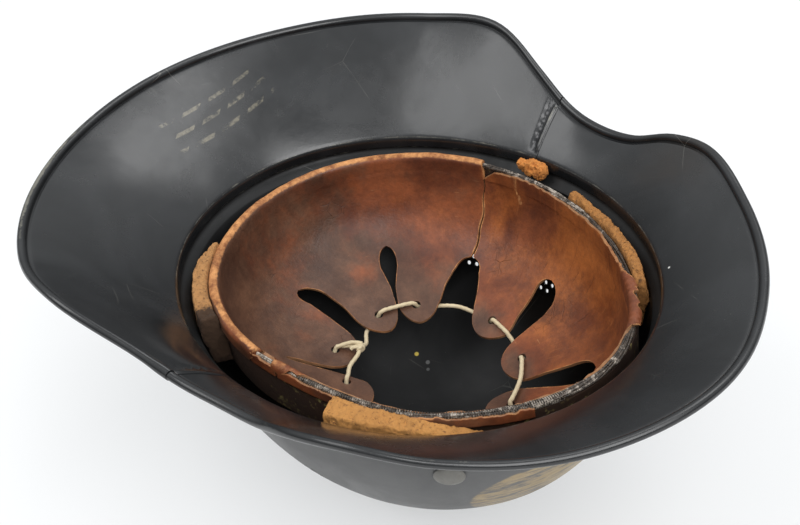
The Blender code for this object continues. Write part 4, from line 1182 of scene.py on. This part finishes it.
def make_pad(name, first, last, paint, seed, soot, rough, droop, pinch):
    angles = np.linspace(first, last, int((last - first) / 0.3))
    rows = np.array([closed_outline(pad_outline(angle), 96) for angle in angles])
    rows = (np.roll(rows, 1, 1) + rows * 2 + np.roll(rows, -1, 1)) / 4
    middle = rows.mean(1, keepdims=True)
    ends = np.minimum(np.arange(len(angles)), np.arange(len(angles))[::-1])
    taper = np.sqrt(np.clip(1 - (1 - np.clip((ends + 0.8) / 3, 0, 1)) ** 2, 0.05, 1))
    sunk = droop * np.clip((angles - last + 24) / 22, 0, 1) ** 2
    rows[..., 2] -= sunk[:, None] * np.clip((rows[..., 2] - 90) / 10, 0, 1)
    radius = np.hypot(rows[..., 0], rows[..., 1])
    inner = radius.min(1, keepdims=True)
    narrow = 1 - pinch * np.clip(1 - (angles - first) / 14, 0, 1)[:, None] ** 1.5
    rows[..., :2] *= ((inner + (radius - inner) * narrow) / radius)[..., None]
    rows = middle + (rows - middle) * taper[:, None, None]
    rows = crumble(rows, seed, *rough)
    dark = np.clip(soot[0] + soot[1] * angles, 0, 1)[:, None]
    pad = Grids().add(rows, soot=dark).build(name + "_felt", paint, sharp=75)
    settle(pad, "helmet", "felt", name)


def make_remnant(paint):
    """A crumbled block of felt on the ledge beside the right end of the seam."""
    rows = []
    turn = np.linspace(0, 2 * math.pi, 64, endpoint=False)
    box = 1 / (abs(np.cos(turn)) ** 4 + abs(np.sin(turn)) ** 4) ** 0.25
    for part in np.linspace(0, 1, 60):
        angle = 88.7 + 11.1 * part
        size = 2.9 * max(1 - (2 * part - 1) ** 6, 0.02) ** 0.5 * (1.08 - 0.25 * part)
        radius = float(mouth_radius(angle)) - 3.9 + 0.95 * size * box * np.cos(turn)
        rows.append(polar(angle, radius, 105.2 + size * box * np.sin(turn)))
    rows = crumble(np.array(rows), 31, 1.5, 0.9)
    crumb = Grids().add(rows, soot=0).build("pad_crumb", paint, sharp=75)
    settle(crumb, "helmet", "felt", "pad_remnant_right")


def make_lace(paint):
    """The lace through the tongues, the coil of its knot and the tail."""
    stops = np.array([leather_place(*stop) for stop in np.array(LACE_ROUTE)])
    route = smooth_route(stops, 12)
    lace = Grids().add(tube(route, 1, 12, twist=1.9, strands=3))
    knot = stops[6]
    ahead = unit(stops[7] - stops[5])
    side = unit(np.cross(ahead, (0, 0, 1)))
    up = np.cross(side, ahead)
    turn = np.linspace(-0.4, 2.3 * 2 * math.pi, 90)[:, None]
    shift = np.linspace(-1.7, 1.7, 90)[:, None]
    coil = knot + ahead * shift + 1.45 * (side * np.cos(turn) + up * np.sin(turn))
    tails = np.array((coil[-1], knot + 3 * side + 1.6 * up, knot + 4.6 * side + 1 * up))
    coil = np.vstack((coil, smooth_route(tails, 10)[3:]))
    lace.add(tube(coil, 0.92, 12, twist=1.9, strands=3))
    hole = stops[2]
    tail = [hole + (0.4, 0.9, 2), (hole + knot) / 2 + (0.4, 2.4, 2.6), knot + (0.2, 1.6, 1.6)]
    lace.add(tube(smooth_route(np.array(tail), 14), 0.95, 12, twist=1.9, strands=3))
    settle(lace.build("lace_cord", paint, sharp=80), "liner_crown", "lace", "crown_lace")


def make_pins(paint):
    """Split pins: a domed head with a rolled edge, the shank, and two spread legs."""
    for name, angle in PIN_ANGLES.items():
        place, out, _ = wall_frame(angle, PIN_HEIGHT)
        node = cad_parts["liner_pin_" + name]
        spots = [node.matrix_world @ v.co / MM - Vector(place) for v in node.data.vertices]
        deep = min(spot.dot(Vector(out)) for spot in spots)
        turn = Vector(out).to_track_quat("Z", "Y").to_matrix()
        along_leg, across = np.array(turn.col[0]), np.array(turn.col[1])
        profile = ((0.2, 2.35), (1.4, 2.33), (2.8, 2.2), (4.2, 1.9), (5.2, 1.5), (5.9, 1.05))
        profile += ((6.15, 0.75), (6.2, 0.5), (6, 0.35), (1.5, 0.3), (1.45, deep + 0.1), (0.2, deep))
        ring = circle(40, along_leg, across)
        rows = [place + out * height + ring * radius for radius, height in profile]
        grids = Grids().add(np.array(rows))
        rows = []
        for way in np.linspace(-3.4, 3.4, 21):
            half = 1.1 * math.sqrt(1 - (way / 3.9) ** 2) * (0.8 if abs(way) < 0.3 else 1)
            lift = deep + 0.1 + 0.25 * (abs(way) / 3.4) ** 2
            corners = ((-half, 0), (half, 0), (half * 0.9, 0.6), (-half * 0.9, 0.6))
            rows.append([place + along_leg * way + across * x + out * (lift + z) for x, z in corners])
        pin = grids.add(np.array(rows)).build("split_pin_" + name, paint, sharp=50)
        settle(pin, "helmet", "pin_metal", "liner_pin_" + name)


def main():
    """Makes every piece; marks are small spots of paint: place, radius in mm and colour."""
    marks = (
        ((92.1, 57.5, 111.8), 0.7, (0.75, 0.74, 0.7)),
        (dome_spot(-40.3, 28.3), 1, (0.72, 0.55, 0.1)),
        (dome_spot(-33.3, 28.9), 1, (0.13, 0.13, 0.13)),
        (dome_spot(-31, 26.4), 0.8, (0.1, 0.1, 0.1)),
    )
    skirt_paint = steel_paint("skirt_paint", (0.0085, 0.009, 0.0098), marks, 0.3, 0)
    faint_dashes(skirt_paint)
    dome_paint = steel_paint("dome_paint_old", (0.006, 0.0062, 0.0065), marks, 0.25, 0.24)
    worn_patch(dome_paint)
    make_skirts(skirt_paint.material)
    make_dome(dome_paint.material)
    leather = leather_paint("old_leather").material
    edges = leather_paint("raw_leather_edge", edge=True).material
    strands = strand_paint("hem_strands").material
    make_leather(leather, edges)
    make_hem(leather, edges, strands)
    make_hoop(fibre_paint("old_fibre").material)
    felts = {name: felt_paint(name, *colours).material for name, colours in FELTS.items()}
    for name, first, last, felt, *settings in PADS:
        make_pad(name, first, last, felts[felt], *settings)
    make_remnant(felts["crumbled_felt"])
    make_lace(cord_paint("cream_cord").material)
    metal = pin_paint("old_pin_metal").material
    make_pins(metal)
    for name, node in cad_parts.items():
        if "pin" in name or "washer" in name:
            node.data.materials.clear()
            node.data.materials.append(metal)


# Soft lamps: name, place in metres, size in metres and power in watts.
LAMPS = (
    ("left", (-1.00, -1.3, 2.6), 1.8, 24.5),
    ("right", (0.1, 1.5, 2.6), 1.3, 13),
    ("front", (1.9, -0.55, 2.3), 2.2, 58),
)
FLOOR_REACH = 60
# The floor glows as well as reflecting, which lightens the shadows on it and lights the helmet from below:
# painted light, not a lamp.
FLOOR_GLOW = 0.46
# Light of the surroundings: it rises between two heights of the view from low to high.
SKY_HEIGHTS = (0.22, 0.62)
SKY_STRENGTHS = (0.21, 0.8)


def make_studio():
    floor_mesh = bpy.data.meshes.new("floor")
    corners = ((-1, -1), (1, -1), (1, 1), (-1, 1))
    corners = [(x * FLOOR_REACH, y * FLOOR_REACH, 0) for x, y in corners]
    floor_mesh.from_pydata(corners, [], [(0, 1, 2, 3)])
    floor = link(bpy.data.objects.new("floor", floor_mesh))
    floor.location.z = cad_box[0][2] - 0.0001
    p = Paint("pale_floor")
    p.set("Base Color", p.mix(p.noise(3, 3), (0.44, 0.442, 0.445), (0.46, 0.462, 0.465)))
    p.set("Roughness", 0.7)
    # Painted light: the floor's own glow.
    p.set("Emission Color", (0.985, 0.995, 1))
    p.set("Emission Strength", FLOOR_GLOW)
    floor_mesh.materials.append(p.material)
    world = bpy.data.worlds.new("studio")
    world.use_nodes = True
    tree = world.node_tree
    backdrop = tree.nodes["Background"].inputs
    backdrop["Color"].default_value = (0.95, 0.98, 1, 1)
    split = tree.nodes.new("ShaderNodeSeparateXYZ")
    tree.links.new(tree.nodes.new("ShaderNodeTexCoord").outputs["Generated"], split.inputs[0])
    sky = tree.nodes.new("ShaderNodeMapRange")
    tree.links.new(split.outputs["Z"], sky.inputs["Value"])
    keys = ("From Min", "From Max", "To Min", "To Max")
    for key, value in zip(keys, SKY_HEIGHTS + SKY_STRENGTHS):
        sky.inputs[key].default_value = value
    tree.links.new(sky.outputs[0], backdrop["Strength"])
    scene.world = world
    for name, place, size, power in LAMPS:
        data = bpy.data.lights.new(name, "AREA")
        data.size = size
        data.energy = power
        lamp = link(bpy.data.objects.new(name, data))
        lamp.location = place
        aim = Vector((0, 0, 0.09)) - Vector(place)
        lamp.rotation_euler = aim.to_track_quat("-Z", "Y").to_euler()
    scene.view_settings.view_transform = "Standard"


# The camera: azimuth, elevation and roll in degrees, then metres and lens in mm.
CAMERA_TURNS = (-39.5, 39.7, -9.5)
CAMERA_TARGET = (0, 0, 0.0836)
CAMERA_DISTANCE = 0.5225
CAMERA_LENS = 53.29
CAMERA_SHIFT = (-0.0206, 0.0568)


def make_camera():
    azimuth, elevation, roll = map(math.radians, CAMERA_TURNS)
    level = math.cos(elevation)
    back = (level * math.cos(azimuth), level * math.sin(azimuth), math.sin(elevation))
    back = Vector(back)
    right = (-back).cross(Vector((0, 0, 1))).normalized()
    up = right.cross(-back)
    across = right * math.cos(roll) + up * math.sin(roll)
    upright = up * math.cos(roll) - right * math.sin(roll)
    data = bpy.data.cameras.new("camera")
    data.lens = CAMERA_LENS
    data.shift_x, data.shift_y = CAMERA_SHIFT
    data.clip_start = 0.01
    camera = link(bpy.data.objects.new("camera", data))
    turn = Matrix((across, upright, back)).transposed()
    place = Vector(CAMERA_TARGET) + back * CAMERA_DISTANCE
    camera.matrix_world = Matrix.Translation(place) @ turn.to_4x4()
    scene.camera = camera


main()
make_studio()
make_camera()
